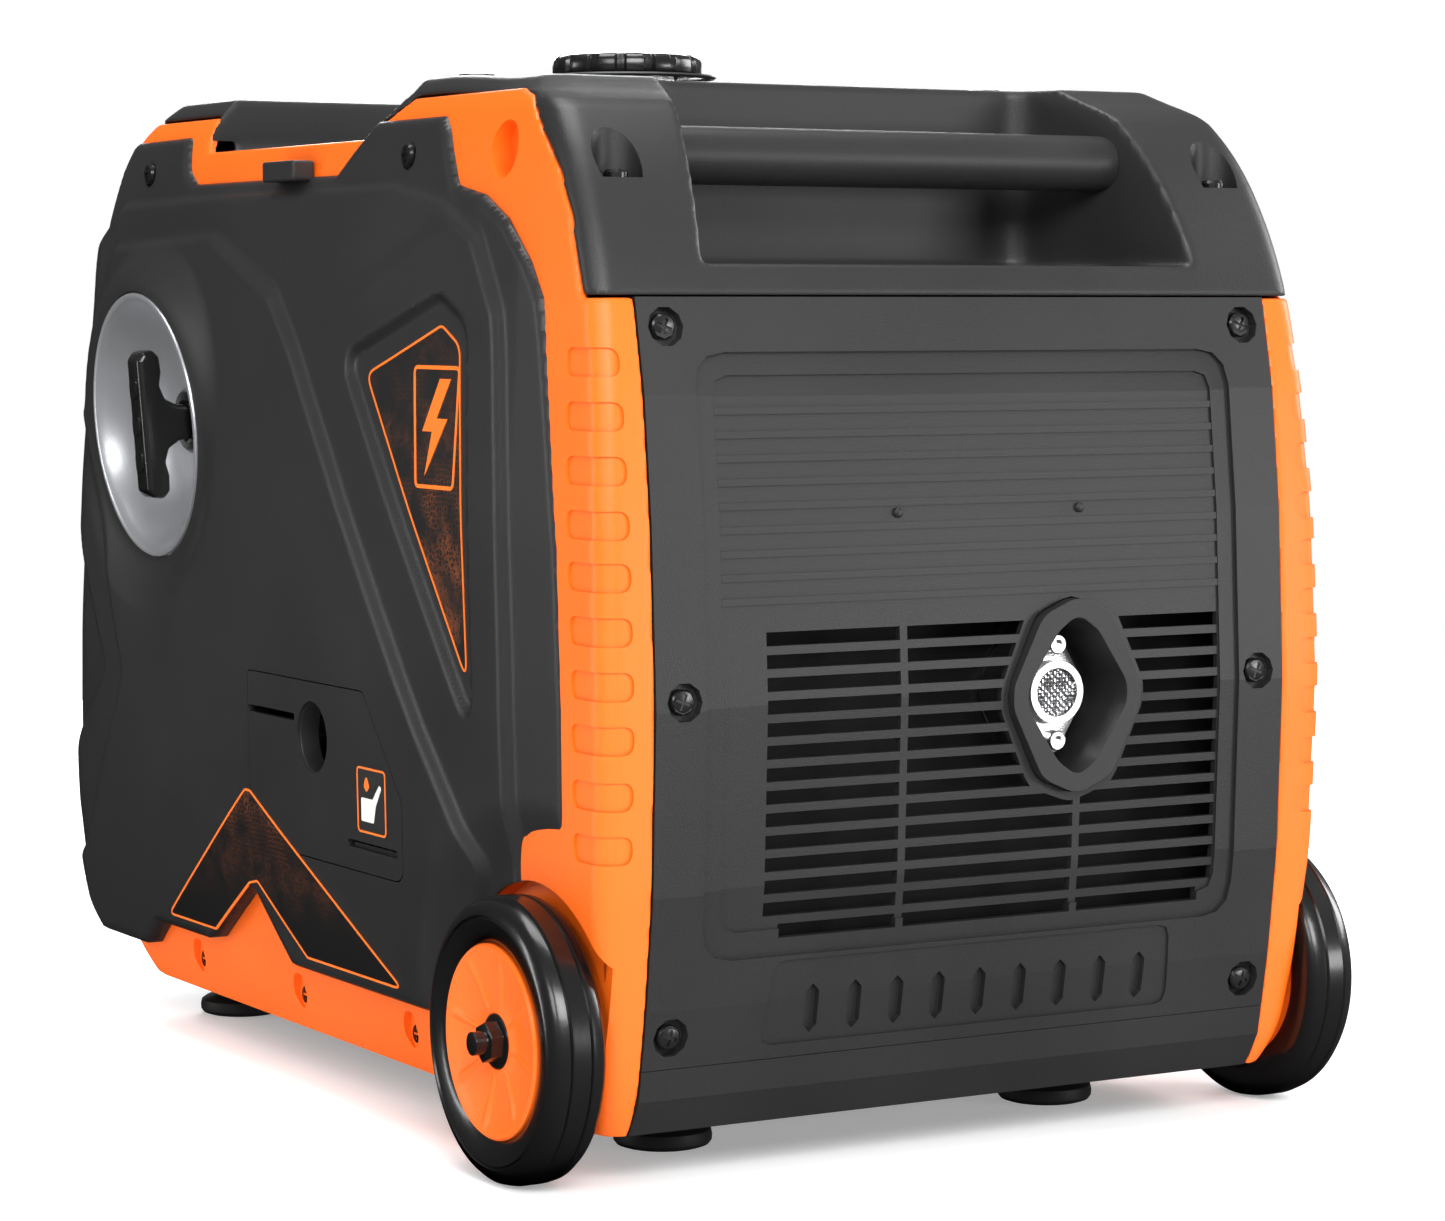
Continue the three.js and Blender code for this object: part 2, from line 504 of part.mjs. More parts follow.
// ---- base tray with the axle carriers
{
  const shell = envelope(4.4).subtract(envelope(8.4)).intersect(box(-260, 260, -340, 340, 0, PANEL_Z0 - GAP));
  const strips = E0.subtract(envelope(8.4)).intersect(all([
    box(-PANEL_HALF, PANEL_HALF, 200, 340, 0, PANEL_Z0 - GAP), box(-PANEL_HALF, PANEL_HALF, -340, -200, 0, PANEL_Z0 - GAP),
  ]));
  const underside = E0.intersect(box(-PANEL_HALF, PANEL_HALF, -240, 270, 0, 34));
  let tray = all([shell.intersect(box(-PANEL_HALF, PANEL_HALF, -340, 340, 0, 60)), strips, underside]);
  const lugs = [];
  for (const s of [-1, 1]) lugs.push(box(s * 150 - 6, s * 150 + 6, WHEEL.y - 18, WHEEL.y + 18, 30, 80));
  for (const y of [-70, 10]) lugs.push(box(-90, 60, y - 14, y + 14, 30, 62));
  tray = all([tray, ...lugs]).subtract(rod('x', [WHEEL.y, WHEEL.z], AXLE_R + 0.06, -200, 200, 20));
  for (const [x, y] of [FOOT.rear, FOOT.front]) {
    for (const s of [-1, 1]) tray = tray.subtract(rod('z', [s * x, y], 6.4, 0, 60, 12));
  }
  node('base_tray', tray, MAT.dark);
}

// ---- feet
for (const [place, [x, y]] of [['rear', FOOT.rear], ['front', FOOT.front]]) {
  const foot = turned('z', [x, y], [[0, 0], [FOOT.r, 0], [FOOT.r + 1, 2], [FOOT.r, 8], [15, 11], [13, 23.6], [6, 23.6], [6, 38], [0, 38]], 18);
  pair(`foot_${place}`, foot, MAT.rubber);
}

// ---- wheels and axle
{
  const { y, z, r, x0, x1, hub } = WHEEL;
  const tyre = turned('x', [y, z], [
    [hub + 0.3, x0 + 3], [r - 9, x0], [r - 2, x0 + 2.5], [r, x0 + 9], [r, x1 - 11],
    [r - 1.6, x1 - 4], [r - 7, x1 - 0.6], [hub + 0.3, x1 - 3], [hub + 0.3, x0 + 3],
  ], 26);
  pair('tyre', tyre, MAT.tyre);
  const rim = turned('x', [y, z], [
    [AXLE_R + 0.06, x0 - 1], [13, x0 - 1], [14, x0 + 8], [hub - 4, x0 + 8], [hub - 4, x0 + 4], [hub, x0 + 4],
    [hub, x1 - 4.5], [hub - 3, x1 - 2.2], [13, x1 - 4.4], [12, x1 - 7], [AXLE_R + 0.06, x1 - 7],
    [AXLE_R + 0.06, x0 - 1],
  ], 26);
  pair('hub', rim, MAT.orange);
  node('axle', rod('x', [y, z], AXLE_R, -(x1 - 8), x1 - 8, 20), MAT.steel);
  const sq = rounded(rect(y - 8, y + 8, z - 8, z + 8), 3, 2);
  const bolt = all([prism('x', sq, x1 - 6.7, x1 + 6.2), rod('x', [y, z], 5, x1 - 7.7, x1 + 7.4, 12)]);
  pair('axle_bolt', bolt, MAT.black);
}

// ---- rear carry bar and front pull-out handle
node('carry_bar', rod('x', [CARRY_BAR.y, CARRY_BAR.z], CARRY_BAR.r, -CARRY_BAR.half, CARRY_BAR.half, 32), MAT.black);
{
  const { y, z, r, half, rod: rr, reach } = PULL_BAR;
  const grip = all([
    rod('x', [y, z], r, -half, half, 28),
    rod('y', [84, z], rr, y, y + reach, 16), rod('y', [-84, z], rr, y, y + reach, 16),
  ]);
  node('pull_handle', grip, MAT.black);
}

// ---- recoil starter: dish, T-grip, rope and pulley
{
  const { y, z, r } = DISH;
  const dish = turned('x', [y, z], [
    [r - 0.2, 189], [r - 0.2, 199.6], [r + 3, 200.2], [r + 2.4, 201.6], [r - 3, 202.8], [r - 7, 201], [r - 14, 191],
    [30, 173], [9, 171], [9, 167], [30, 169], [r - 12, 187], [r - 5, 189], [r - 0.2, 189],
  ], 28);
  node('recoil_dish', leanDish(dish), MAT.silver);
  const face = rounded([[y - 14, z + 38], [y + 11, z + 38], [y + 7, z + 12], [y + 7, z - 12], [y + 11, z - 38], [y - 14, z - 38],
    [y - 10, z - 12], [y - 10, z + 12]], 7, 3);
  const grip = all([prism('x', face, 189, 206), rod('x', [y, z], 8, 173, 190, 16)]);
  node('recoil_grip', leanDish(grip), MAT.black);
  node('recoil_rope', leanDish(rod('x', [y, z], 2.5, 46, 172.7, 10)), MAT.rope);
  node('recoil_pulley', turned('x', [y + 48, z - 50], [[7, 118], [44, 118], [44, 121], [38, 123], [38, 127], [44, 129],
    [44, 132], [7, 132], [7, 118]], 20), MAT.black);
}

// ---- oil access door and the oil filler behind it
{
  const outline = rounded([[-37.5, 203.5], [95.7, 203.5], [135.4, 155.8], [135.4, 118.5], [70, 118.5], [-37.5, 118.5]],
    [4, 6, 6, 10, 4, 4], 3);
  let door = prism('x', outline, 150, 260).intersect(envelope(-COVER_OUT).subtract(envelope(-COVER_OUT + 3.2)));
  const skin = envelope(-COVER_OUT - 3).subtract(envelope(-COVER_OUT + 1.2));
  door = cut(door, [
    rod('x', [DOOR_HOLE.y, DOOR_HOLE.z], DOOR_HOLE.r, 150, 260, 24),
    prism('x', roundRect(-37, 18, 183, 187, 1.9, 1), 150, 260).intersect(skin),
    prism('x', roundRect(76, 130, 129, 133.5, 2.1, 1), 150, 260).intersect(skin),
  ]);
  const collar = ringOf('x', [DOOR_HOLE.y, DOOR_HOLE.z], DOOR_HOLE.r, DOOR_HOLE.r + 2.4, 190, 200.6, 24);
  node('oil_door', door.add(collar), MAT.dark);
  const cap = all([
    turned('x', [DOOR_HOLE.y, 150], [[0, 160], [14, 160], [16, 162], [16, 174], [14, 176], [0, 176]], 24),
    rod('x', [DOOR_HOLE.y, 150], 8, 118, 161, 16), box(170, 182, DOOR_HOLE.y - 2.5, DOOR_HOLE.y + 2.5, 139, 161),
  ]);
  node('oil_cap', cap, MAT.orange);
}

// ---- fuel cap, vent knob, plugs, filler neck, tank
{
  const { x, y, r, top } = CAP;
  let cap = turned('z', [x, y], [[0, top], [r - 5, top], [r - 1.5, top - 2], [r, top - 5], [r, 490], [r - 3, 490], [r - 3, 497], [0, 497]], 28);
  cap = cut(cap, [rod('z', [x, y], 11.3, top - 3, top + 5, 18)]);
  node('fuel_cap', cap, MAT.black);
  node('cap_vent_knob', turned('z', [x, y], [[0, top - 2.7], [10.9, top - 2.7], [10.9, top], [9.5, top + 1.5], [0, top + 1.5]], 24), MAT.black);
  node('filler_neck', turned('z', [x, y], [[20, 436], [23.5, 436], [23.5, 484], [30, 486], [30, 496.5], [26, 496.5], [20, 486], [20, 436]], 18)
    .subtract(ringOf('z', [x, y], 23.6, 60, 470, 489.3, 18)), MAT.steel);
}
{
  const skin = prism('z', roundRect(-135, 135, -118, 150, 20, 1), 356, 430);
  const inner = prism('z', roundRect(-132, 132, -115, 147, 17, 1), 359, 427);
  const neck = ringOf('z', [CAP.x, CAP.y], 23.8, 28, 425, 448, 18);
  const tank = all([skin.subtract(inner), neck, ringOf('z', [CAP.x, CAP.y], 19, 24, 425, 435.5, 18)])
    .subtract(rod('z', [CAP.x, CAP.y], 19, 420, 500, 20));
  node('fuel_tank', tank, MAT.tank);
  node('fuel_gauge', all([rod('z', [60, -76], 14, 462.4, 466, 20), rod('z', [60, -76], 10, 440, 463, 16)]), MAT.screen);
}

// ---- engine, generator and electronics inside the casing
{
  const { y, z } = CRANK;
  const crankcase = cut(all([
    prism('x', roundRect(y - 66, y + 66, 62.4, z + 62, 18), -86, 40),
    prism('x', [[y + 40, z + 12], [y + 100, z + 62], [y + 62, z + 118], [y - 8, z + 62]], -70, 14),
    box(10, 40, 18, 45, 138, 162), rod('x', [DOOR_HOLE.y, 150], 12, 20, 117.7, 16),
  ]), [rod('x', [y, z], 15.06, -120, 43.7, 24)]);
  node('crankcase', crankcase, MAT.cast);
  const head = [];
  for (let i = 0; i < 6; i += 1) {
    const d = 3 + i * 9;
    const u = [0.707, 0.707];
    const v = [-0.6, 0.8];
    head.push([d, u, v]);
  }
  const base = [y + 82, z + 91];
  const fins = [];
  const dir = new THREE.Vector2(0.8, 0.6).normalize();
  const side = new THREE.Vector2(-dir.y, dir.x);
  const corner = (d, w) => [base[0] + dir.x * d + side.x * w, base[1] + dir.y * d + side.y * w];
  fins.push(prism('x', [corner(0.6, -26), corner(58, -26), corner(58, 26), corner(0.6, 26)], -60, 4));
  for (let i = 0; i < 5; i += 1) {
    const d = 6 + i * 11;
    fins.push(prism('x', [corner(d, -36), corner(d + 3.5, -36), corner(d + 3.5, 36), corner(d, 36)], -68, 12));
  }
  node('cylinder_head', all(fins), MAT.cast);
  node('spark_plug', rod('x', corner(34, 0), 7, 12.4, 44, 16), MAT.white);
  const shaft = all([rod('x', [y, z], 15, -118, 43, 24), rod('x', [y, z], 9, 43, 104, 20)]);
  node('crankshaft', shaft, MAT.steel);
  node('stator', ringOf('x', [y, z], 26, 50, 46, 76, 24), MAT.copper);
  const rotor = turned('x', [y, z], [[9.5, 80], [56, 80], [56, 44], [62, 44], [62, 86], [9.5, 86], [9.5, 80]], 22);
  const blades = [];
  for (let i = 0; i < 10; i += 1) {
    const a = (i * Math.PI) / 5;
    const [c, s] = [Math.cos(a), Math.sin(a)];
    const pts = [[20, -1.2], [58, -1.2], [58, 1.2], [20, 1.2]].map(([p, q]) => [y + p * c - q * s, z + p * s + q * c]);
    blades.push(prism('x', pts, 85, 100));
  }
  node('flywheel_fan', all([rotor, ...blades]), MAT.cast);
}
{
  const can = prism('y', roundRect(-128, 26, 152, 262, 22), 168, 262);
  const pipe = rod('y', [BEZEL.x, BEZEL.z], 13, 261, 284, 24);
  const port = rod('y', [-20, 236], 12, 150, 169, 20);
  node('muffler', all([can, pipe, port]).subtract(rod('y', [BEZEL.x, BEZEL.z], 10, 266, 300, 20)), MAT.sheet);
  const diamond = rounded([[BEZEL.x, BEZEL.z + 31], [BEZEL.x + 17, BEZEL.z], [BEZEL.x, BEZEL.z - 31], [BEZEL.x - 17, BEZEL.z]], 8, 4);
  node('exhaust_flange', all([prism('y', diamond, 285, 289), rod('y', [BEZEL.x, BEZEL.z], 14.5, 288, 294, 28)])
    .subtract(rod('y', [BEZEL.x, BEZEL.z], 11, 280, 300, 24)), MAT.steel);
  node('exhaust_screen', rod('y', [BEZEL.x, BEZEL.z], 10.7, 290, 292.5, 24), MAT.steel);
  node('air_filter_box', prism('x', roundRect(118, 168, 268, 346, 10), -60, 60), MAT.black);
  node('carburettor', all([box(-50, -16, 92, 117, 330, 350), rod('y', [-33, 338], 9, 88, 117.6, 16)]), MAT.cast);
  const inverter = [box(-130, 60, -262, -176, 62.4, 78)];
  for (let i = 0; i < 9; i += 1) inverter.push(box(-130, 60, -258 + i * 9.6, -254.5 + i * 9.6, 77, 116));
  node('inverter_module', all(inverter), MAT.cast);
  node('battery', all([prism('z', roundRect(72, 140, -262, -192, 4), 62.4, 146), rod('z', [88, -226], 5, 145, 152, 12), rod('z', [124, -226], 5, 145, 152, 12)]), MAT.black);
}

export default group;
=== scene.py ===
"""Looks of the closed-frame inverter generator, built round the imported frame."""
import json
import math

import bpy
import bmesh
import numpy as np
from mathutils import Matrix, Vector


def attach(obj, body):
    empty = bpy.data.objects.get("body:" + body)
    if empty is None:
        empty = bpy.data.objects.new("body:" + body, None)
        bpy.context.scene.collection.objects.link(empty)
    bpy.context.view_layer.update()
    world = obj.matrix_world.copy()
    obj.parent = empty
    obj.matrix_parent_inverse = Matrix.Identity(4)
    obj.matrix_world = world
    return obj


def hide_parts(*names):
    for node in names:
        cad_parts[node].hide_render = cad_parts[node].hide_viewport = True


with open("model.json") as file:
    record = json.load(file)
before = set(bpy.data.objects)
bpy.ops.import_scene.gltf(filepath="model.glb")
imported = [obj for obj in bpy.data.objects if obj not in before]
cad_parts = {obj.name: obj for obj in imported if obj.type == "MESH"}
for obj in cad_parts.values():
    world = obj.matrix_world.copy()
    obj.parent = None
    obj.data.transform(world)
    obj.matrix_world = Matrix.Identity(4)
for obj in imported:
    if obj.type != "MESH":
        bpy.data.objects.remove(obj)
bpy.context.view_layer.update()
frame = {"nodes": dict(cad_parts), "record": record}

NODES = frame["nodes"]
MM = 0.001

# ------------------------------------------------------------------ camera, studio and lights
AZ, EL = math.radians(149.837), math.radians(4.324)
back = Vector((math.sin(AZ) * math.cos(EL), -math.cos(AZ) * math.cos(EL), math.sin(EL)))
cam_data = bpy.data.cameras.new("camera")
cam_data.sensor_width = 36.0
cam_data.lens = 100.42
cam = bpy.data.objects.new("camera", cam_data)
cam.location = (0.99821, 1.79493, 0.38283)
cam.rotation_euler = (-back).to_track_quat("-Z", "Y").to_euler()
bpy.context.scene.collection.objects.link(cam)
bpy.context.scene.camera = cam

world = bpy.data.worlds.new("studio")
bpy.context.scene.world = world
bpy.context.scene.view_settings.view_transform = "Standard"
world.use_nodes = True
wn, wl = world.node_tree.nodes, world.node_tree.links.new
# what the machine sees: a dim studio, lighter towards the rear and the ceiling
studio = wn["Background"]
direction = wn.new("ShaderNodeSeparateXYZ")
wl(wn.new("ShaderNodeTexCoord").outputs["Generated"], direction.inputs[0])
level = wn.new("ShaderNodeMath")
level.operation = "MULTIPLY_ADD"
level.inputs[1].default_value, level.inputs[2].default_value = 0.16, 0.20
wl(direction.outputs[1], level.inputs[0])
ceiling = wn.new("ShaderNodeMath")
ceiling.operation = "MULTIPLY_ADD"
ceiling.inputs[1].default_value = 0.18
wl(direction.outputs[2], ceiling.inputs[0])
wl(level.outputs[0], ceiling.inputs[2])
wl(ceiling.outputs[0], studio.inputs[1])
studio.inputs[0].default_value = (1.0, 1.0, 1.0, 1.0)
white = wn.new("ShaderNodeBackground")
white.inputs[1].default_value = 1.0
white.inputs[0].default_value = (1.0, 1.0, 1.0, 1.0)
choose = wn.new("ShaderNodeMixShader")
wl(wn.new("ShaderNodeLightPath").outputs["Is Camera Ray"], choose.inputs[0])
wl(studio.outputs[0], choose.inputs[1])
wl(white.outputs[0], choose.inputs[2])
wl(choose.outputs[0], wn["World Output"].inputs[0])


def area(name, place, aim, power, size, size_y):
    data = bpy.data.lights.new(name, "AREA")
    data.shape = "RECTANGLE"
    data.energy, data.size, data.size_y = power, size, size_y
    ob = bpy.data.objects.new(name, data)
    ob.location = place
    ob.rotation_euler = (Vector(aim) - Vector(place)).to_track_quat("-Z", "Y").to_euler()
    ob.visible_camera = False
    bpy.context.scene.collection.objects.link(ob)


area("key_rear", (0.9, 2.8, 1.7), (0.0, 0.3, 0.25), 84, 1.5, 1.1)
area("side_key", (2.2, 1.7, 1.4), (0.1, 0.0, 0.25), 25, 0.9, 0.9)
area("rear_card", (-1.8, 2.7, 0.40), (0.0, 0.3, 0.25), 24, 0.9, 0.6)
area("edge_strip", (2.3, -1.1, 0.45), (0.2, 0.1, 0.25), 15, 0.3, 1.2)
area("top_soft", (0.1, -0.1, 2.4), (0.0, 0.0, 0.3), 46, 1.4, 1.4)
area("front_fill", (-1.2, -2.4, 1.2), (0.0, -0.2, 0.25), 60, 1.2, 1.0)
area("far_fill", (-2.4, 0.4, 1.1), (0.0, 0.0, 0.25), 40, 1.0, 1.2)

# ------------------------------------------------------------------ materials


def socket(shader, name, value):
    if name in shader.inputs:
        shader.inputs[name].default_value = value


def material(name, color, rough, metal=0.0, grain=900.0, bump=0.15, vary=0.12, coat=0.0,
             sheen=0.0, streak=None, dust=0.04, spec=0.5):
    """Moulded or metal surface: mottled tone, patchy gloss and a fine grain in the surface."""
    mat = bpy.data.materials.new(name)
    mat.use_nodes = True
    tree = mat.node_tree
    n, link = tree.nodes, tree.links.new
    shader = n["Principled BSDF"]
    socket(shader, "Metallic", metal)
    socket(shader, "Coat Weight", coat)
    socket(shader, "Coat Roughness", 0.12)
    socket(shader, "Sheen Weight", sheen)
    socket(shader, "Specular IOR Level", spec)
    coords = n.new("ShaderNodeTexCoord")
    mapping = n.new("ShaderNodeMapping")
    link(coords.outputs["Object"], mapping.inputs["Vector"])
    if streak:
        mapping.inputs["Scale"].default_value = streak
    broad = n.new("ShaderNodeTexNoise")
    broad.inputs["Scale"].default_value = 9.0
    broad.inputs["Detail"].default_value = 6.0
    link(coords.outputs["Object"], broad.inputs["Vector"])
    fine = n.new("ShaderNodeTexNoise")
    fine.inputs["Scale"].default_value = grain
    fine.inputs["Detail"].default_value = 3.0
    link(mapping.outputs["Vector"], fine.inputs["Vector"])
    ramp = n.new("ShaderNodeValToRGB")
    lo = tuple(max(0.0, c * (1 - vary)) for c in color)
    hi = tuple(min(1.0, c * (1 + vary) + dust * 0.04) for c in color)
    ramp.color_ramp.elements[0].position = 0.32
    ramp.color_ramp.elements[0].color = (*lo, 1)
    ramp.color_ramp.elements[1].position = 0.7
    ramp.color_ramp.elements[1].color = (*hi, 1)
    blend = n.new("ShaderNodeMath")
    blend.operation = "MULTIPLY_ADD"
    link(fine.outputs["Fac"], blend.inputs[0])
    blend.inputs[1].default_value = 0.35
    half = n.new("ShaderNodeMath")
    half.operation = "MULTIPLY"
    half.inputs[1].default_value = 0.65
    link(broad.outputs["Fac"], half.inputs[0])
    link(half.outputs[0], blend.inputs[2])
    link(blend.outputs[0], ramp.inputs["Fac"])
    link(ramp.outputs["Color"], shader.inputs["Base Color"])
    gloss = n.new("ShaderNodeMapRange")
    gloss.inputs["To Min"].default_value = max(0.03, rough - 0.07)
    gloss.inputs["To Max"].default_value = min(1.0, rough + 0.09)
    link(blend.outputs[0], gloss.inputs["Value"])
    link(gloss.outputs["Result"], shader.inputs["Roughness"])
    relief = n.new("ShaderNodeBump")
    relief.inputs["Strength"].default_value = bump
    relief.inputs["Distance"].default_value = 0.0004
    link(fine.outputs["Fac"], relief.inputs["Height"])
    link(relief.outputs["Normal"], shader.inputs["Normal"])
    return mat


MATS = {
    "orange": material("orange_plastic", (0.92, 0.135, 0.005), 0.42, grain=700, bump=0.10, vary=0.05,
                       spec=0.35),
    "dark": material("charcoal_plastic", (0.0165, 0.0165, 0.017), 0.42, grain=1300, bump=0.30, vary=0.16,
                     dust=0.02,
                     spec=0.36),
    "black": material("black_plastic", (0.005, 0.005, 0.005), 0.24, grain=1100, bump=0.10, coat=0.15,
                      dust=0.01,
                      spec=0.4),
    "tyre": material("tyre_rubber", (0.004, 0.004, 0.004), 0.24, grain=500, bump=0.08, coat=0.2, dust=0.01,
                     spec=0.35),
    "rubber": material("foot_rubber", (0.008, 0.008, 0.008), 0.55, grain=600, bump=0.25, dust=0.01, spec=0.3),
    "silver": material("satin_silver", (0.46, 0.47, 0.49), 0.34, metal=0.75, grain=900, bump=0.10, vary=0.06),
    "steel": material("bright_steel", (0.62, 0.62, 0.63), 0.24, metal=1.0, grain=500, bump=0.12,
                      streak=(1.0, 1.0, 8.0)),
    "cast": material("cast_aluminium", (0.33, 0.34, 0.35), 0.55, metal=0.85, grain=420, bump=0.5),
    "copper": material("copper_winding", (0.50, 0.17, 0.06), 0.38, metal=0.9, grain=300, bump=0.4,
                       streak=(12.0, 1.0, 1.0)),
    "sheet": material("aluminised_sheet", (0.26, 0.26, 0.26), 0.50, metal=0.9, grain=260, bump=0.25,
                      vary=0.3),
    "tank": material("tank_plastic", (0.006, 0.006, 0.007), 0.70, grain=500, bump=0.3, dust=0.0, spec=0.2),
    "rope": material("starter_rope", (0.012, 0.012, 0.012), 0.88, grain=1400, bump=0.8, sheen=0.3,
                     streak=(0.3, 1.0, 1.0)),
    "screen": material("display_lens", (0.006, 0.014, 0.016), 0.10, grain=200, bump=0.02, coat=0.6),
    "red": material("red_plastic", (0.50, 0.020, 0.014), 0.33, grain=800, bump=0.08),
    "white": material("white_plastic", (0.76, 0.74, 0.69), 0.38, grain=800, bump=0.06, vary=0.05),
}
SLOT_OF = {row["node"]: row["material_slot"] for row in frame["record"]["subparts"]}

# ------------------------------------------------------------------ solid helpers, millimetres


def make(name, verts, faces):
    mesh = bpy.data.meshes.new(name)
    mesh.from_pydata([tuple(v) for v in np.asarray(verts, float) * MM], [], faces)
    bm = bmesh.new()
    bm.from_mesh(mesh)
    bmesh.ops.remove_doubles(bm, verts=bm.verts, dist=1e-7)
    bmesh.ops.recalc_face_normals(bm, faces=bm.faces)
    bm.to_mesh(mesh)
    bm.free()
    ob = bpy.data.objects.new(name, mesh)
    bpy.context.scene.collection.objects.link(ob)
    return ob


def loft(name, rings, caps=True):
    n = len(rings[0])
    faces = []
    for k in range(len(rings) - 1):
        a = k * n
        faces += [(a + i, a + (i + 1) % n, a + n + (i + 1) % n, a + n + i) for i in range(n)]
    if caps:
        faces.append(tuple(range(n)))
        faces.append(tuple(range((len(rings) - 1) * n, len(rings) * n)))
    return make(name, np.concatenate(rings), faces)


PLANE = {"x": (1, 2, 0), "y": (0, 2, 1), "z": (0, 1, 2)}


def placed(axis, pts, t):
    u, v, w = PLANE[axis]
    ring = np.zeros((len(pts), 3))
    ring[:, u] = [p[0] for p in pts]
    ring[:, v] = [p[1] for p in pts]
    ring[:, w] = t
    return ring


def prism(axis, pts, a, b, name="solid"):
    return loft(name, [placed(axis, pts, a), placed(axis, pts, b)])


def ease(x, a, b):
    t = np.clip((x - a) / (b - a), 0, 1)
    return t * t * (3 - 2 * t)


def circle(cu, cv, r, seg=32, start=0.0):
    return [(cu + r * math.cos(start + 2 * math.pi * i / seg),
             cv + r * math.sin(start + 2 * math.pi * i / seg))
            for i in range(seg)]


def turned(axis, centre, profile, seg=64, name="turned"):
    """Body turned from a closed run of (radius, position along the axis)."""
    rings = [placed(axis, circle(centre[0], centre[1], max(r, 0.0), seg), t) for r, t in profile]
    rings.append(rings[0])
    return loft(name, rings, caps=False)


def box(x0, x1, y0, y1, z0, z1):
    return prism("z", [(x0, y0), (x1, y0), (x1, y1), (x0, y1)], z0, z1)


def rounded(points, radius, steps=6):
    out = []
    n = len(points)
    for i in range(n):
        p = Vector(points[i])
        a, b = Vector(points[i - 1]) - p, Vector(points[(i + 1) % n]) - p
        want = radius[i] if isinstance(radius, (list, tuple)) else radius
        half = a.angle(b) / 2
        reach = min(want / math.tan(half), a.length * 0.48, b.length * 0.48)
        if reach < 0.05:
            out.append((p.x, p.y))
            continue
        s, e = p + a.normalized() * reach, p + b.normalized() * reach
        count = 1 if half > 1.45 else steps
        for k in range(count + 1):
            t = k / count
            q = s * (1 - t) ** 2 + p * 2 * t * (1 - t) + e * t * t
            out.append((q.x, q.y))
    return out


def round_rect(a0, a1, b0, b1, r, steps=6):
    return rounded([(a0, b0), (a1, b0), (a1, b1), (a0, b1)], r, steps)


def bake(ob):
    """Turns the modifiers of an object into its mesh."""
    bpy.context.view_layer.update()
    mesh = bpy.data.meshes.new_from_object(ob.evaluated_get(bpy.context.evaluated_depsgraph_get()))
    old = ob.data
    ob.modifiers.clear()
    ob.data = mesh
    bpy.data.meshes.remove(old)
    return ob


def combine(a, b, how):
    mod = a.modifiers.new("join", "BOOLEAN")
    mod.operation, mod.object, mod.solver = how, b, "MANIFOLD"
    bake(a)
    bpy.data.objects.remove(b, do_unlink=True)
    return a


def cut(a, *others):
    for b in others:
        combine(a, b, "DIFFERENCE")
    return a


def add(a, *others):
    for b in others:
        combine(a, b, "UNION")
    return a


def clip(a, b):
    return combine(a, b, "INTERSECT")


def soften(ob, voxel, rounds):
    """Rounds every edge the way a moulded skin is rounded."""
    mod = ob.modifiers.new("grid", "REMESH")
    mod.mode, mod.voxel_size = "VOXEL", voxel * MM
    mod = ob.modifiers.new("smooth", "SMOOTH")
    mod.factor, mod.iterations = 0.5, rounds
    return bake(ob)


def shade(ob, angle=32.0):
    ob.data.polygons.foreach_set("use_smooth", [True] * len(ob.data.polygons))
    ob.data.set_sharp_from_angle(angle=math.radians(angle))


def bevel(ob, width, segments=2, angle=35.0):
    mod = ob.modifiers.new("bevel", "BEVEL")
    mod.width, mod.segments = width * MM, segments
    mod.limit_method, mod.angle_limit = "ANGLE", math.radians(angle)
    mod.harden_normals = False
    return ob


def piece(ob, name, slot, body="housing", replaces=(), mat=None, angle=32.0):
    ob.name = name
    ob.data.name = name
    ob.data.materials.clear()
    ob.data.materials.append(mat or MATS[slot])
    if ob.type == "MESH":
        shade(ob, angle)
    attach(ob, body)
    if replaces:
        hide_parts(*replaces)
    return ob


def mirrored(ob, keep=True):
    other = ob.copy()
    other.data = ob.data.copy()
    bpy.context.scene.collection.objects.link(other)
    co = np.empty(len(other.data.vertices) * 3)
    other.data.vertices.foreach_get("co", co)
    co[0::3] *= -1
    other.data.vertices.foreach_set("co", co)
    other.data.flip_normals()
    other.data.update()
    if not keep:
        bpy.data.objects.remove(ob, do_unlink=True)
    return other


def grid_faces(nu, nv, base=0):
    i, j = np.meshgrid(np.arange(nu - 1), np.arange(nv - 1), indexing="ij")
    a = (i * nv + j + base).ravel()
    return np.stack([a, a + nv, a + nv + 1, a + 1], axis=1)


def signed(poly, u, v):
    """Distance to a closed outline, positive inside."""
    dist, inside = np.full(u.shape, 1e9), np.zeros(u.shape, bool)
    pts = [tuple(p) for p in poly]
    for (a0, a1), (b0, b1) in zip(pts, pts[1:] + pts[:1]):
        e0, e1 = b0 - a0, b1 - a1
        t = np.clip(((u - a0) * e0 + (v - a1) * e1) / max(e0 * e0 + e1 * e1, 1e-9), 0, 1)
        dist = np.minimum(dist, np.hypot(u - a0 - t * e0, v - a1 - t * e1))
        if a1 != b1:
            inside ^= ((a1 > v) != (b1 > v)) & (u < e0 * (v - a1) / e1 + a0)
    return np.where(inside, dist, -dist)


# ------------------------------------------------------------------ body shape
LEVELS = np.array([
    [24, 177, 284, -250], [40, 183, 293, -265], [80, 187, 300, -287], [130, 190.5, 306, -301],
    [210, 192, 309, -310], [290, 190.8, 305, -300], [345, 188, 299, -293], [387, 185.5, 290.5, -289],
    [410, 184.2, 282.5, -287], [430, 182.8, 272.5, -284], [448, 180.8, 261.5, -279], [464, 178, 247.5, -270],
    [479, 173, 231, -254], [489, 162, 206, -238]], float)
FINE_Z = np.arange(24.0, 489.01, 1.0)


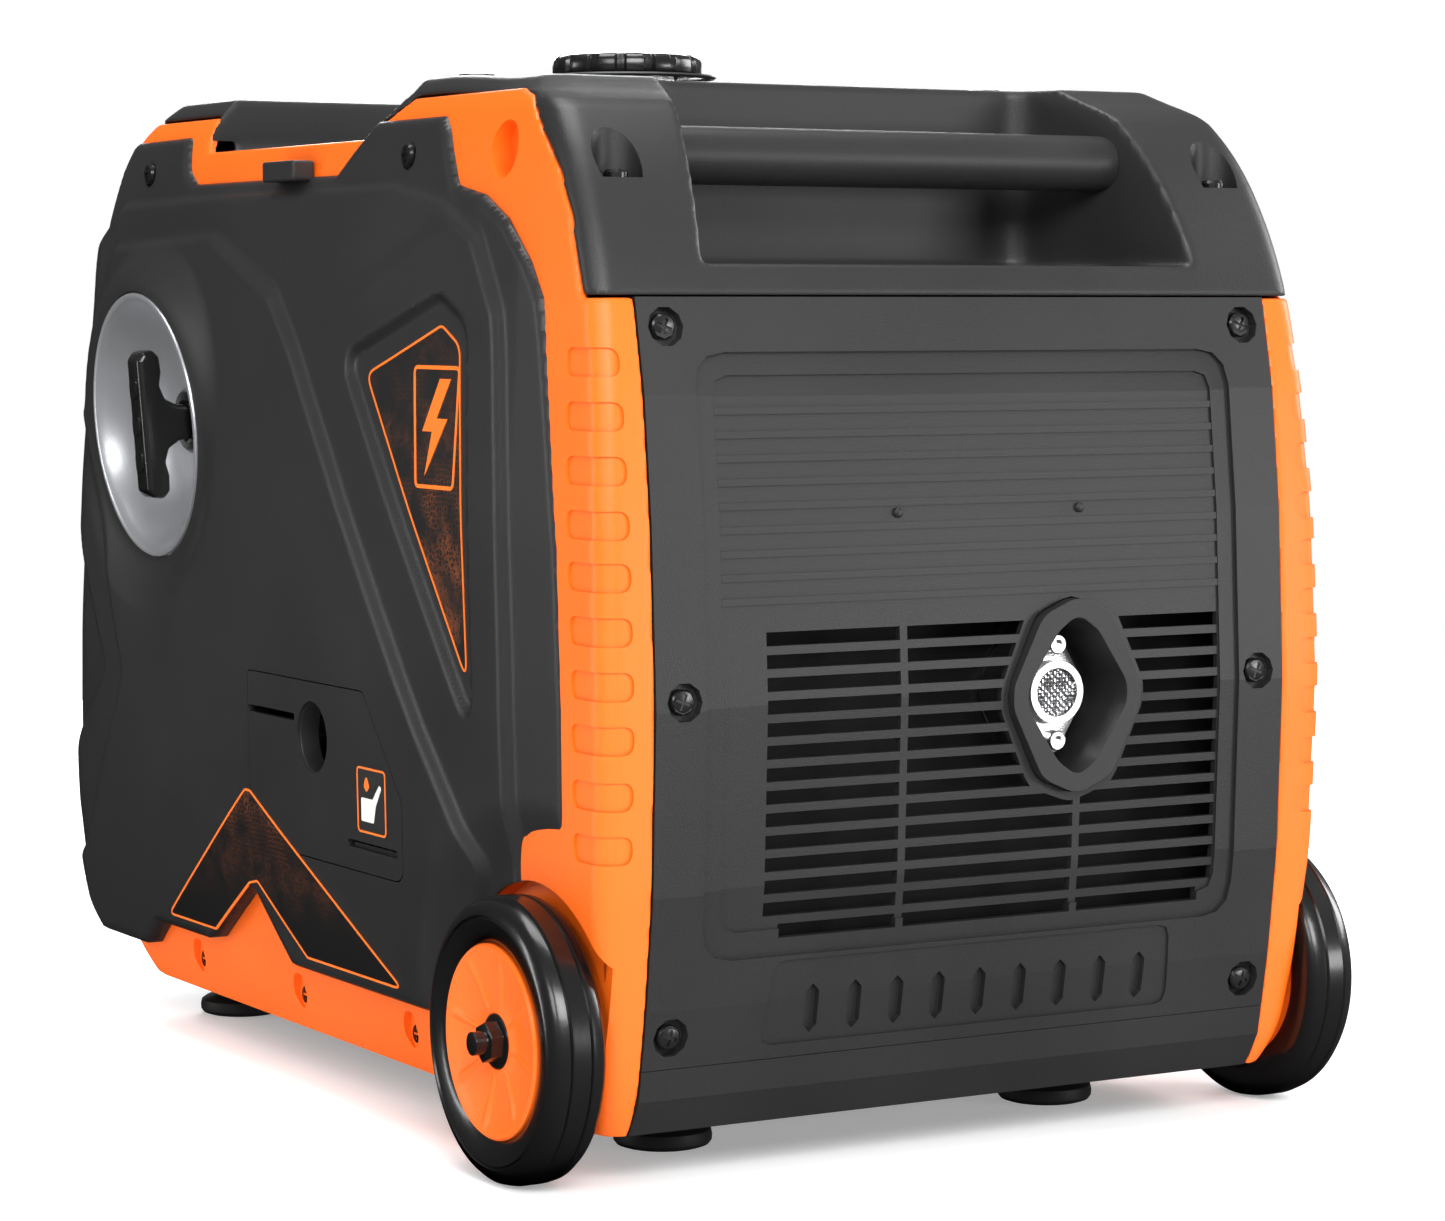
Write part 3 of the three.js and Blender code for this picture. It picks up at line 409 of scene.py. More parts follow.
def fine(column, reach=11):
    line = np.interp(FINE_Z, LEVELS[:, 0], LEVELS[:, column])
    padded = np.concatenate([2 * line[0] - line[reach:0:-1], line, 2 * line[-1] - line[-2:-reach - 2:-1]])
    return np.convolve(padded, np.ones(2 * reach + 1) / (2 * reach + 1), "valid")


WIDTH, REAR, FRONT = fine(1) + 1.5, fine(2), fine(3)
REAR_CORNER, FRONT_CORNER = 10.0, 36.0
PANEL_HALF, SEAM_Z, GAP = 167.0, 387.0, 0.3


def width_at(z):
    return np.interp(z, FINE_Z, WIDTH)


def body_ring(z, inset, arc=9):
    w, r, f = (float(np.interp(z, FINE_Z, t)) for t in (WIDTH, REAR, FRONT))
    x = w - inset
    ring = []
    for cx, cy, quarter, rad in ((x, r - inset, 0, REAR_CORNER), (-x, r - inset, 1, REAR_CORNER),
                                 (-x, f + inset, 2, FRONT_CORNER), (x, f + inset, 3, FRONT_CORNER)):
        rr = max(rad - inset, 3.0)
        ox = cx - math.copysign(rr, cx)
        oy = cy - (rr if quarter < 2 else -rr)
        for k in range(arc + 1):
            a = (quarter + k / arc) * math.pi / 2
            ring.append((ox + rr * math.cos(a), oy + rr * math.sin(a)))
    return ring


def envelope(inset, step=5.0):
    low, high = 24.0, 489.0
    squeeze = (high - low - 2 * inset) / (high - low)
    rings = []
    for z in np.linspace(low, high, int((high - low) / step) + 1):
        rings.append(placed("z", body_ring(z, inset), low + inset + (z - low) * squeeze))
    return loft("body", rings)


VALLEY = (462.0, -141.0, 52.0)
BACK_Y, BACK_HALF, MOUTH_Y, MOUTH_HALF, FLOOR_Z = 184.0, 102.0, 290.0, 132.0, 401.0
FLARE = (MOUTH_HALF - BACK_HALF) / (MOUTH_Y - BACK_Y)


def valley(grow):
    z, y0, y1 = VALLEY
    return prism("x", [(y0 - grow, 600), (y0 - grow, z - grow), (y1 + grow, z - grow),
                       (y1 + 28 + grow, z + 20 - grow), (y1 + 33 + grow, 600)], -260, 260)


def rear_recess(grow):
    y = BACK_Y - grow
    half = lambda at: BACK_HALF + grow + (at - BACK_Y) * FLARE
    return prism("z", rounded([(-half(y), y), (half(y), y), (half(400), 400), (-half(400), 400)],
                              [18 + grow, 18 + grow, 1, 1]), FLOOR_Z - grow, 600)


def front_recess(grow):
    return prism("z", round_rect(-116 - grow, 116 + grow, -400, -222 + grow, 16 + grow), 405 - grow, 600)


def hollow(inset, grow):
    return cut(envelope(inset), valley(grow), rear_recess(grow), front_recess(grow))


def frame_edge(lift):
    z = VALLEY[0] - 0.3 + lift
    return [(-340, 0), (340, 0), (340, SEAM_Z - GAP + lift), (279 + lift, SEAM_Z - GAP + lift),
            (273 + lift, 402),
            (266 + lift, 421), (252 + lift, 441), (212, 475 + lift), (196, 479.5 + lift), (89, 479.5 + lift),
            (52, z), (-140.5, z), (-143, 479.5 + lift), (-340, 479.5 + lift)]


# ------------------------------------------------------------------ top cover
CAP_X, CAP_Y = 79, 124                 # filler
POCKET_X, POCKET_Y, POCKET_FLOOR = 160, 262, 438
PLUG_X, PLUG_Y = 142, 93
ROD_X, ROD_Z = 84, 437                 # rods of the pull-out handle
skin = cut(hollow(0, 0), hollow(3.5, 3.5))
above = prism("x", [(-340, 700)] + list(reversed(frame_edge(GAP)[2:])) + [(340, 700)], -260, 260)
zone = add(clip(above, box(-260, 260, -340, 340, SEAM_Z, 700)), box(-164, 164, -340, 340, SEAM_Z, 700),
           box(-172.2, 172.2, VALLEY[1] + 0.2, VALLEY[2], 440, 700))
top = clip(skin, zone)
soften(top, 1.7, 7)
co = np.empty(len(top.data.vertices) * 3)
top.data.vertices.foreach_get("co", co)
co = co.reshape(-1, 3) / MM
co[:, 2] -= 3.6 * ease(co[:, 1], 105, 184) * ease(co[:, 2], 468, 486)
top.data.vertices.foreach_set("co", (co * MM).ravel())
top.data.update()
cut(top, prism("z", circle(CAP_X, CAP_Y, 24.5, 48), 460, 520),
    prism("z", circle(60, -76, 10.6, 32), 440, 480))
for s in (-1, 1):
    cut(top, prism("z", circle(s * POCKET_X, POCKET_Y, 11.3, 40), POCKET_FLOOR, 500),
        prism("y", circle(s * ROD_X, ROD_Z, 5.8, 24), -240, -200))
piece(top, "top_shell", "dark", replaces=["top_cover"])

# shoulder screws and the round plugs on the top
for s, tag in ((1, "right"), (-1, "left")):
    cup = cut(clip(prism("z", circle(s * POCKET_X, POCKET_Y, 13.2, 64), 435, 500), envelope(0.3, 4)),
              prism("z", circle(s * POCKET_X, POCKET_Y, 11.1, 64), POCKET_FLOOR, 520))
    piece(cup, f"shoulder_pocket_{tag}", "dark")
    head = turned("z", (s * POCKET_X, POCKET_Y - 1), [
        (0, POCKET_FLOOR), (5.4, POCKET_FLOOR), (5.4, 440.2), (4.6, 441.4), (0, 441.9)], 32)
    x = s * POCKET_X
    cut(head, box(x - 3.6, x + 3.6, 260.3, 261.7, 440.3, 450),
        box(x - 0.7, x + 0.7, 257.4, 264.6, 440.3, 450))
    piece(head, f"shoulder_screw_{tag}", "black")
    plug = turned("z", (s * PLUG_X, PLUG_Y), [(0, 487.6), (9.6, 487.6), (9.6, 489.6), (8.4, 490.9),
                                              (4, 491.6),
                                       (0, 491.6)], 40)
    piece(plug, f"top_plug_{tag}", "black")

# ------------------------------------------------------------------ orange side frames
WHEEL_Y, WHEEL_Z, WHEEL_R = 244.5, 63.4, 63.4
region = prism("x", frame_edge(-GAP), PANEL_HALF + GAP, 260)
opening = prism("x", rounded([
    (-246, 72), (-112, 72), (-50, 104), (10, 72), (118, 72), (148, 120), (176, 146), (240, 152), (247, 210),
    (244, 290), (234, 350), (224, 384), (196, 408), (150, 422), (120, 430), (-160, 430), (-226, 430),
    (-254, 400), (-264, 360), (-278, 250), (-278, 110), (-268, 80)], 8, 3), 150, 260)
body = cut(envelope(0, 4), envelope(4, 8))
side = clip(body, region)
thick = clip(cut(envelope(0, 6), envelope(11, 12)), box(PANEL_HALF + GAP, 260, 150, 292, 0, 150))
add(side, thick)
cut(side, opening)
add(side, clip(prism("x", circle(198, 452, 15.5, 48), 168.5, 200), envelope(2, 5)))
soften(side, 1.5, 4)
LOZENGE_HALF, LOZENGE_DEPTH = 6.2, 1.3
LOZENGES = [359, 336, 313, 290, 268, 245, 222, 199, 175, 152]
marks = None
for z in LOZENGES:
    low, high = z - LOZENGE_HALF, z + LOZENGE_HALF
    start = float(np.interp(z, [222, 359], [281, 269]))      # clear of the side cover's rear edge
    a = prism("x", round_rect(start, 400, low, high, 5.5, 5), 170, 230)
    b = prism("y", round_rect(177.5, 260, low, high, 5.5, 5), 240, 340)
    mark = clip(a, b)
    marks = mark if marks is None else add(marks, mark)
band = cut(envelope(-2, 6), envelope(LOZENGE_DEPTH, 6))
clip(marks, band)
cut(side, marks)
cut(side, turned("x", (WHEEL_Y, WHEEL_Z), [(0, 184.2), (WHEEL_R + 5, 184.2), (WHEEL_R + 8, 240), (0, 240)],
                 96))
cut(side, prism("x", circle(WHEEL_Y, WHEEL_Z, 7.0, 24), 150, 260))
cut(side, prism("x", circle(198, 452, 13, 64), 171.5, 260))
SILL_Z, SILL_SCREWS = 42, ((-150, "front"), (-22, "middle"), (104, "rear"))
for y, _ in SILL_SCREWS:
    drop = rounded([(y - 8, 42), (y, 33), (y + 8, 42), (y + 5, 53), (y - 5, 53)], 6, 5)
    cut(side, prism("x", drop, 181.5, 260))
left_side = mirrored(side)
piece(side, "frame_right", "orange", replaces=["side_frame_right"])
piece(left_side, "frame_left", "orange", replaces=["side_frame_left"])

# ------------------------------------------------------------------ side covers, sculpted over a fine grid
COVER_FRONT = np.array([(40, -308), (85, -314.6), (112, -317.5), (168, -315), (228, -310.3), (278, -305.5),
                        (316, -302.4), (353, -302), (386, -299.7), (470, -299)])
COVER_CORNER, COVER_PROUD = 45.0, 7.5
MAIN_STEP, REAR_FALL, PLATEAU_STEP, RECESS_STEP, GROOVE_STEP, LIP_DEPTH = 4.2, 2.6, 4.0, 3.4, 3.0, 5.6
DISH = (199.5, -175.0, 321.0, 68.5, math.radians(4.6))
OUTLINE = rounded([
    (-258, 44), (-200, 44), (-190, 51), (-178, 59.5), (-108, 59.5), (-57, 92), (-41, 92), (-3, 60),
    (262, 60), (273, 131), (274, 210), (268, 280), (257, 335), (246, 386), (233, 402), (210, 421), (186, 432),
    (158, 437), (142, 462), (134, 469), (64, 469), (28, 445), (-146, 445), (-157, 452), (-164, 470),
    (-236, 469), (-246, 455), (-258, 430), (-270, 405), (-278, 370), (-288, 300), (-296, 230), (-296, 120),
    (-290, 84), (-276, 58)], 6, 5)
EAR_Z, EARS = 452, ((-205, "front"), (108, "rear"))
PLATEAU = rounded([(-330, 250), (-262, 330), (-252, 385), (-232, 414), (-100, 418), (-24, 390), (4, 364),
                   (54, 306),
                   (104, 246), (152, 190), (206, 134), (150, 20), (-330, 20)], 10, 4)
MAIN = rounded([(-330, 20), (-330, 400), (-262, 418), (-232, 436), (-100, 438), (100, 438), (150, 430),
                (190, 414),
                (214, 380), (224, 300), (230, 220), (232, 140), (232, 20)], 14, 4)
RECESS = rounded([(60, 358), (158, 386), (184, 374), (199, 196)], [8, 12, 14, 6], 5)
NOTCH = rounded([(-330, 300), (-276, 258), (-236, 190), (-288, 142), (-330, 120)], 8, 4)
CREASE = rounded([(-330, 420), (-268, 332), (-206, 190), (-268, 92), (-330, 60)], 10, 4)
DOOR = rounded([(-37.5, 203.5), (95.7, 203.5), (135.4, 155.8), (135.4, 118.5), (70, 118.5), (-37.5, 118.5)],
               [4, 6, 6, 10, 4, 4], 5)


def frame_x(y, z):
    f = np.interp(z, FINE_Z, FRONT) + FRONT_CORNER
    dy = np.clip(f - y, 0, FRONT_CORNER * 0.99)
    return width_at(z) - FRONT_CORNER + np.sqrt(FRONT_CORNER ** 2 - dy ** 2)


def cover_x(y, z, right, rim=True):
    f = np.interp(z, COVER_FRONT[:, 0], COVER_FRONT[:, 1]) + COVER_CORNER
    dy = np.clip(f - y, 0, COVER_CORNER * 0.99)
    x = width_at(z) + COVER_PROUD - COVER_CORNER + np.sqrt(COVER_CORNER ** 2 - dy ** 2)
    x = x - MAIN_STEP * (1 - ease(signed(MAIN, y, z), -3.2, 3.2))
    x = x - REAR_FALL * np.clip((y - 228) / 44, 0, 1)
    x = x + PLATEAU_STEP * ease(signed(PLATEAU, y, z), -3.2, 3.2)
    x = x - RECESS_STEP * ease(signed(RECESS, y, z), -3.4, 0.6)
    for groove in (CREASE, NOTCH):
        x = x - GROOVE_STEP * ease(signed(groove, y, z), -3, 3)
    # faint fold above the badge
    fold = (z - 390) * 110 - (y - 60) * 40
    x = x + 0.9 * ease(-fold / 117, -3, 9) * ease(y, 20, 80) * ease(z, 360, 385)
    # hollow lip round the wheel
    d = np.hypot(y - WHEEL_Y, z - WHEEL_Z)
    x = x - LIP_DEPTH * (1 - ease(d, 72, 106))
    if right:
        dx, cy, cz, r, tilt = DISH
        d = np.hypot(y - cy, z - cz)
        plane = dx + 2.6 + (z - cz) * math.tan(tilt)
        near = 1 - ease(d, r + 2, r + 30)
        x = x * (1 - near) + plane * near
    if rim:
        d = np.clip(signed(OUTLINE, y, z), 0, 3.6)
        x = x - (3.6 - np.sqrt(np.maximum(3.6 ** 2 - (3.6 - d) ** 2, 0)))
    return x


def sheet_solid(name, y0, y1, z0, z1, step, front, back_fn):
    ys = np.linspace(y0, y1, int((y1 - y0) / step) + 1)
    zs = np.linspace(z0, z1, int((z1 - z0) / step) + 1)
    yy, zz = np.meshgrid(ys, zs, indexing="ij")
    nu, nv = yy.shape
    front_pts = np.stack([front(yy, zz), yy, zz], -1).reshape(-1, 3)
    back_pts = np.stack([np.minimum(back_fn(yy, zz), front_pts[:, 0].reshape(yy.shape) - 0.6), yy, zz],
                        -1).reshape(-1, 3)
    n = nu * nv
    faces = [grid_faces(nu, nv), grid_faces(nu, nv, n)[:, ::-1]]
    idx = np.arange(n).reshape(nu, nv)
    for edge in (idx[0, :], idx[-1, ::-1], idx[::-1, 0], idx[:, -1]):
        faces.append(np.stack([edge[:-1], edge[1:], edge[1:] + n, edge[:-1] + n], 1))
    return make(name, np.concatenate([front_pts, back_pts]), np.concatenate(faces).tolist())


def side_cover(right):
    ob = sheet_solid("cover", -300, 277, 40, 474, 2.0, lambda y, z: cover_x(y, z, right),
                     lambda y, z: frame_x(y, z) + 0.3)
    clip(ob, prism("x", OUTLINE, 100, 260))
    cut(ob, prism("x", circle(WHEEL_Y, WHEEL_Z, WHEEL_R + 5, 96), 100, 260))
    for y, _ in EARS:
        cut(ob, turned("x", (y, EAR_Z), [(0, 183.6), (6.9, 183.6), (7.3, 200), (7.3, 240), (0, 240)], 48))
    if right:
        dx, cy, cz, r, tilt = DISH
        cut(ob, lean(prism("x", circle(cy, cz, r + 1.2, 96), 120, 280)))
        grown = rounded([(-38.1, 204.1), (96, 204.1), (136, 156), (136, 117.9), (70, 117.9), (-38.1, 117.9)],
                        [4, 6, 6, 10, 4, 4], 5)
        cut(ob, prism("x", grown, 150, 260))
    else:
        for i in range(9):
            cut(ob, prism("x", round_rect(-190, -70, 220 + i * 14, 227 + i * 14, 3.4, 4), 150, 260))
    return ob


def lean(ob):
    """Tips a body about the starter's cross axis so that its mouth looks slightly down."""
    dx, cy, cz, r, tilt = DISH
    turn = Matrix.Translation(Vector((dx, 0, cz)) * MM) @ Matrix.Rotation(tilt, 4, "Y") @ \
        Matrix.Translation(-Vector((dx, 0, cz)) * MM)
    ob.data.transform(turn)
    ob.data.update()
    return ob


piece(side_cover(True), "cover_right", "dark", replaces=["side_cover_right"], angle=40)
piece(mirrored(side_cover(False), keep=False), "cover_left", "dark", replaces=["side_cover_left"], angle=40)

# ------------------------------------------------------------------ badges, oil door and label, right cover


def skin_patch(poly, lift, depth, step=1.6, name="patch"):
    """A thin closed layer that follows the cover surface inside an outline."""
    ys, zs = [p[0] for p in poly], [p[1] for p in poly]
    ob = sheet_solid(name, min(ys) - 3, max(ys) + 3, min(zs) - 3, max(zs) + 3, step,
                     lambda y, z: cover_x(y, z, True, False) + lift,
                     lambda y, z: cover_x(y, z, True, False) - depth)
    return clip(ob, prism("x", poly, 150, 280))


def ribbon(path, width, lift, name, slot, body="housing", mat=None):
    """A printed line of even width laid along a closed path on the cover."""
    dense = []
    for a, b in zip(path, path[1:] + path[:1]):
        a, b = Vector(a), Vector(b)
        count = max(1, int((b - a).length / 2.5))
        dense += [a.lerp(b, k / count) for k in range(count)]
    rings = [[], [], [], []]
    n = len(dense)
    for i, p in enumerate(dense):
        t = (dense[(i + 1) % n] - dense[i - 1]).normalized()
        side_dir = Vector((-t.y, t.x)) * width / 2
        for k, (q, up) in enumerate(((p + side_dir, lift), (p - side_dir, lift),
                                     (p - side_dir, -0.5), (p + side_dir, -0.5))):
            x = float(cover_x(np.array([q.x]), np.array([q.y]), True, False)[0]) + up
            rings[k].append((x, q.x, q.y))
    rings = [np.array(r) for r in rings]
    ob = loft(name, rings + [rings[0]], caps=False)
    return piece(ob, name, slot, body, mat=mat)


def printed(name, base, ink, cell, low, high, axis=2, drift=0.0):
    """Glossy film with a fine maze of ink lines that fade out along one direction."""
    mat = bpy.data.materials.new(name)
    mat.use_nodes = True
    n, link = mat.node_tree.nodes, mat.node_tree.links.new
    shader = n["Principled BSDF"]
    socket(shader, "Roughness", 0.38)
    socket(shader, "Coat Weight", 0.15)
    coords = n.new("ShaderNodeTexCoord")
    cells = n.new("ShaderNodeTexVoronoi")
    cells.feature = "DISTANCE_TO_EDGE"
    cells.inputs["Scale"].default_value = cell
    cells.inputs["Randomness"].default_value = 0.55
    link(coords.outputs["Object"], cells.inputs["Vector"])
    lines = n.new("ShaderNodeMapRange")
    lines.inputs["From Min"].default_value, lines.inputs["From Max"].default_value = 0.16, 0.06
    link(cells.outputs["Distance"], lines.inputs["Value"])
    split = n.new("ShaderNodeSeparateXYZ")
    link(coords.outputs["Object"], split.inputs[0])
    fade = n.new("ShaderNodeMapRange")
    fade.inputs["From Min"].default_value, fade.inputs["From Max"].default_value = low * MM, high * MM
    slant = n.new("ShaderNodeMath")
    slant.operation = "MULTIPLY_ADD"
    link(split.outputs[1], slant.inputs[0])
    slant.inputs[1].default_value = drift
    link(split.outputs[axis], slant.inputs[2])
    link(slant.outputs[0], fade.inputs["Value"])
    cloud = n.new("ShaderNodeTexNoise")
    cloud.inputs["Scale"].default_value = 55.0
    link(coords.outputs["Object"], cloud.inputs["Vector"])
    both = n.new("ShaderNodeMath")
    both.operation = "MULTIPLY"
    link(lines.outputs["Result"], both.inputs[0])
    link(fade.outputs["Result"], both.inputs[1])
    third = n.new("ShaderNodeMath")
    third.operation = "MULTIPLY"
    link(both.outputs[0], third.inputs[0])
    thin = n.new("ShaderNodeMapRange")
    thin.inputs["From Min"].default_value, thin.inputs["From Max"].default_value = 0.35, 0.75
    thin.inputs["To Max"].default_value = 0.20
    link(cloud.outputs["Fac"], thin.inputs["Value"])
    link(thin.outputs["Result"], third.inputs[1])
    mix = n.new("ShaderNodeMix")
    mix.data_type = "RGBA"
    mix.inputs[6].default_value = (*base, 1)
    mix.inputs[7].default_value = (*ink, 1)
    link(third.outputs[0], mix.inputs[0])
    link(mix.outputs[2], shader.inputs["Base Color"])
    return mat


INK = (0.93, 0.20, 0.008)
FILM = (0.006, 0.006, 0.006)
LINE = material("orange_print", (0.93, 0.17, 0.008), 0.40, grain=400, bump=0.03, vary=0.04)
TRIANGLE = rounded([(79, 351), (157, 374), (175, 365), (190.5, 216)], [5, 9, 10, 3], 6)
CHEVRON = rounded([(-155, 66.5), (-44, 143.5), (-38, 143.5), (125, 67.5), (19, 67.5), (-35, 98.5),
                   (-45, 96.5),
                   (-94, 66.5)], [2, 7, 7, 2, 3, 4, 4, 3], 5)
piece(skin_patch(TRIANGLE, 0.15, 0.6), "badge_triangle", "black",
      mat=printed("badge_print", FILM, INK, 420.0, 350, 240, drift=-0.25))
piece(skin_patch(CHEVRON, 0.15, 0.6), "badge_chevron", "black",
      mat=printed("chevron_print", FILM, INK, 420.0, 80, 150))
ribbon(TRIANGLE, 1.15, 0.3, "badge_triangle_line", "orange", mat=LINE)
ribbon(CHEVRON, 1.15, 0.3, "badge_chevron_line", "orange", mat=LINE)
# plain emblem: a spark inside a frame
SPARK = [(157, 350), (141, 326), (151, 326), (145, 306), (166, 332), (155, 332), (168, 350)]
piece(skin_patch(SPARK, 0.42, 0.3, 1.2), "emblem_spark", "orange", mat=LINE)
ribbon(rounded([(136, 301), (174, 301), (176, 355), (130, 355)], 3, 5), 1.8, 0.34, "emblem_frame", "orange",
       mat=LINE)

DOOR_Y, DOOR_Z, DOOR_R = 38.0, 177.0, 17.3
door = skin_patch(DOOR, 0.0, 3.0, 1.8, "door")
cut(door, prism("x", circle(DOOR_Y, DOOR_Z, DOOR_R, 56), 150, 260))
for y0, y1, z0, z1 in ((-37, 18, 183.2, 186.8), (76, 130, 129.2, 132.8)):
    cut(door, prism("x", round_rect(y0, y1, z0, z1, 1.7, 5), 200.4, 260))
bevel(door, 0.5, 2, 50)
piece(door, "oil_door_panel", "dark", "oil_door", replaces=["oil_door"])
collar = turned("x", (DOOR_Y, DOOR_Z), [(17.0, 193), (17.0, 202.2), (17.8, 203.2), (19.6, 203.2),
                                        (20.6, 202.0),
                                        (20.8, 198.5), (20.8, 193)], 72)
for a in (35, 145, 270):
    cy = DOOR_Y + 20.4 * math.cos(math.radians(a))
    cz = DOOR_Z + 20.4 * math.sin(math.radians(a))
    add(collar, prism("x", circle(cy, cz, 3.6, 24), 194, 202.6))
bevel(collar, 0.4, 2, 50)
piece(collar, "oil_door_collar", "dark", "oil_door")
LABEL = round_rect(88, 120, 137, 169, 3.2)
piece(skin_patch(LABEL, 0.25, 0.4, 1.2), "oil_label", "black", "oil_door",
      mat=printed("label_film", (0.02, 0.02, 0.02), (0.05, 0.05, 0.05), 200.0, 137, 169))
ribbon(round_rect(89, 119, 138, 168, 2.6), 1.0, 0.4, "oil_label_line", "orange", "oil_door", mat=LINE)
can = rounded([(93, 143), (106, 143), (108.5, 151), (115, 160), (113, 161.5), (105.5, 154), (93, 154)], 1.0,
              3)
piece(skin_patch(can, 0.4, 0.2, 1.0), "oil_label_can", "white", "oil_door")
drop = rounded([(99, 165), (96, 159.5), (99, 156.8), (102, 159.5)], 1.4, 4)
piece(skin_patch(drop, 0.4, 0.2, 0.8), "oil_label_drop", "orange", "oil_door", mat=LINE)
tab = prism("x", round_rect(-38, -1, 443, 453, 2), 183, 194.5)
piece(bevel(tab, 1.0), "cover_tab_right", "dark")
piece(mirrored(tab), "cover_tab_left", "dark")

# ------------------------------------------------------------------ recoil starter
DY, DZ = DISH[1:3]
bowl = turned("x", (DY, DZ), [
    (66.0, 190), (68.3, 199.0), (69.2, 201.4), (68.6, 202.8), (67.0, 203.2), (65.2, 202.2), (63.4, 198.6),
    (59, 192),
    (52, 185.5), (43, 180), (31, 176.2), (18, 174.6), (8.6, 174.4), (8.6, 172.2), (19, 172.4), (33, 174),
    (46, 179),
    (56, 185)], 160)
piece(lean(bowl), "starter_bowl", "silver", replaces=["recoil_dish"], angle=50)
half_grip = [(206, 34), (203, 38), (197, 39), (193.5, 35), (193, 27), (194.5, 20), (192, 13), (186, 9.6),
             (178, 9)]
outline = [(x, DZ + z) for x, z in half_grip] + [(x, DZ - z) for x, z in reversed(half_grip)]
grip = prism("y", rounded(outline, 3.5, 4), DY - 8.5, DY + 8.5)
bevel(grip, 3.0, 4, 50)
bake(grip)
for dz in (-19, 0, 19):
    add(grip, prism("x",
                    rounded([(DY - 4.5, DZ + dz - 6.5), (DY + 4.5, DZ + dz - 4), (DY + 4.5, DZ + dz + 6.5),
                                  (DY - 4.5, DZ + dz + 4)], 3, 5), 203, 206.9))
piece(lean(bevel(grip, 0.5, 2, 60)), "starter_grip", "black", "recoil_grip", replaces=["recoil_grip"])
seat = turned("x", (DY, DZ), [(9.6, 174.5), (16, 175.2), (17, 177), (15.5, 178.6), (11.5, 178.8),
                              (9.6, 177.6)], 64)
piece(lean(seat), "starter_rope_eye", "black")

# ------------------------------------------------------------------ wheels


def spun(axis, centre, profile, seg, relief=None, name="spun"):
    """Turned body whose radius and position may vary round the turn."""
    th = np.arange(seg) * 2 * math.pi / seg
    u, v, w = PLANE[axis]
    rings = []
    for r, t in list(profile) + [profile[0]]:
        rr, tt = relief(r, t, th) if relief else (r + 0 * th, t + 0 * th)
        ring = np.zeros((seg, 3))
        ring[:, u], ring[:, v], ring[:, w] = centre[0] + rr * np.cos(th), centre[1] + rr * np.sin(th), tt
        rings.append(ring)
    return loft(name, rings, caps=False)


def hub_relief(r, t, th):
    lift = np.zeros_like(th)
    if t > 209 and 13 < r < 41:
        wave = np.abs((th * 8 / (2 * math.pi) + 0.25) % 1 - 0.5) * 2
        inner, outer = ease(np.array(r), 14, 20), ease(np.array(r), 35, 40)
        lift = 1.1 * ease(wave, 0.80, 0.97) * float(inner * (1 - outer))
    return r + 0 * th, t + lift


TYRE = [(43.2, 191), (46, 190), (55, 188), (60.5, 189.8), (62.6, 192.6), (63.3, 196.5), (62.4, 197.3),
        (63.4, 198.2),
        (63.4, 206.2), (62.4, 207.0), (63.1, 207.8), (62.2, 211.4), (60.0, 214.0), (56.6, 215.6),
        (55.4, 215.8),
        (54.8, 214.9), (54.0, 215.5), (48, 214.6), (45.2, 213.6), (43.2, 212.4)]
HUB = [(6.2, 205), (6.2, 209.8), (11.6, 209.8), (12.6, 211.4), (14, 211.2), (17, 210.4), (20, 210.4),
       (24, 210.8),
       (28, 211.4), (32, 212.1), (36, 212.9), (38.5, 213.6), (40.4, 214.6), (42.0, 214.8), (43.0, 213.6),
       (43.0, 191.6), (38.4, 191.6), (38.4, 196), (14, 196), (13, 186.6), (6.2, 186.6)]
for s, tag in ((1, "right"), (-1, "left")):
    tyre = spun("x", (WHEEL_Y, WHEEL_Z), TYRE, 160)
    rim = spun("x", (WHEEL_Y, WHEEL_Z), HUB, 192, hub_relief)
    nut = prism("x", circle(WHEEL_Y, WHEEL_Z, 9.2, 6, 0.4), 209.9, 217.4)
    add(nut, prism("x", circle(WHEEL_Y, WHEEL_Z, 12.0, 40), 209.9, 211.6),
        prism("x", circle(WHEEL_Y, WHEEL_Z, 5.2, 32), 217, 223.2))
    bevel(nut, 0.9, 3, 40)
    bake(nut)
    if s < 0:
        tyre, rim, nut = (mirrored(o, keep=False) for o in (tyre, rim, nut))
    piece(tyre, f"wheel_tyre_{tag}", "tyre", f"wheel_{tag}", replaces=[f"tyre_{tag}"], angle=40)
    piece(rim, f"wheel_rim_{tag}", "orange", f"wheel_{tag}", replaces=[f"hub_{tag}"], angle=30)
    piece(nut, f"axle_nut_{tag}", "black", replaces=[f"axle_bolt_{tag}"])

# ------------------------------------------------------------------ fuel cap


def cap_relief(r, t, th):
    if r < 33.5 or t > 498.5:
        return r + 0 * th, t + 0 * th
    wave = np.abs((th * 16 / (2 * math.pi)) % 1 - 0.5) * 2
    return r - 1.6 * (1 - ease(wave, 0.25, 0.42)), t + 0 * th


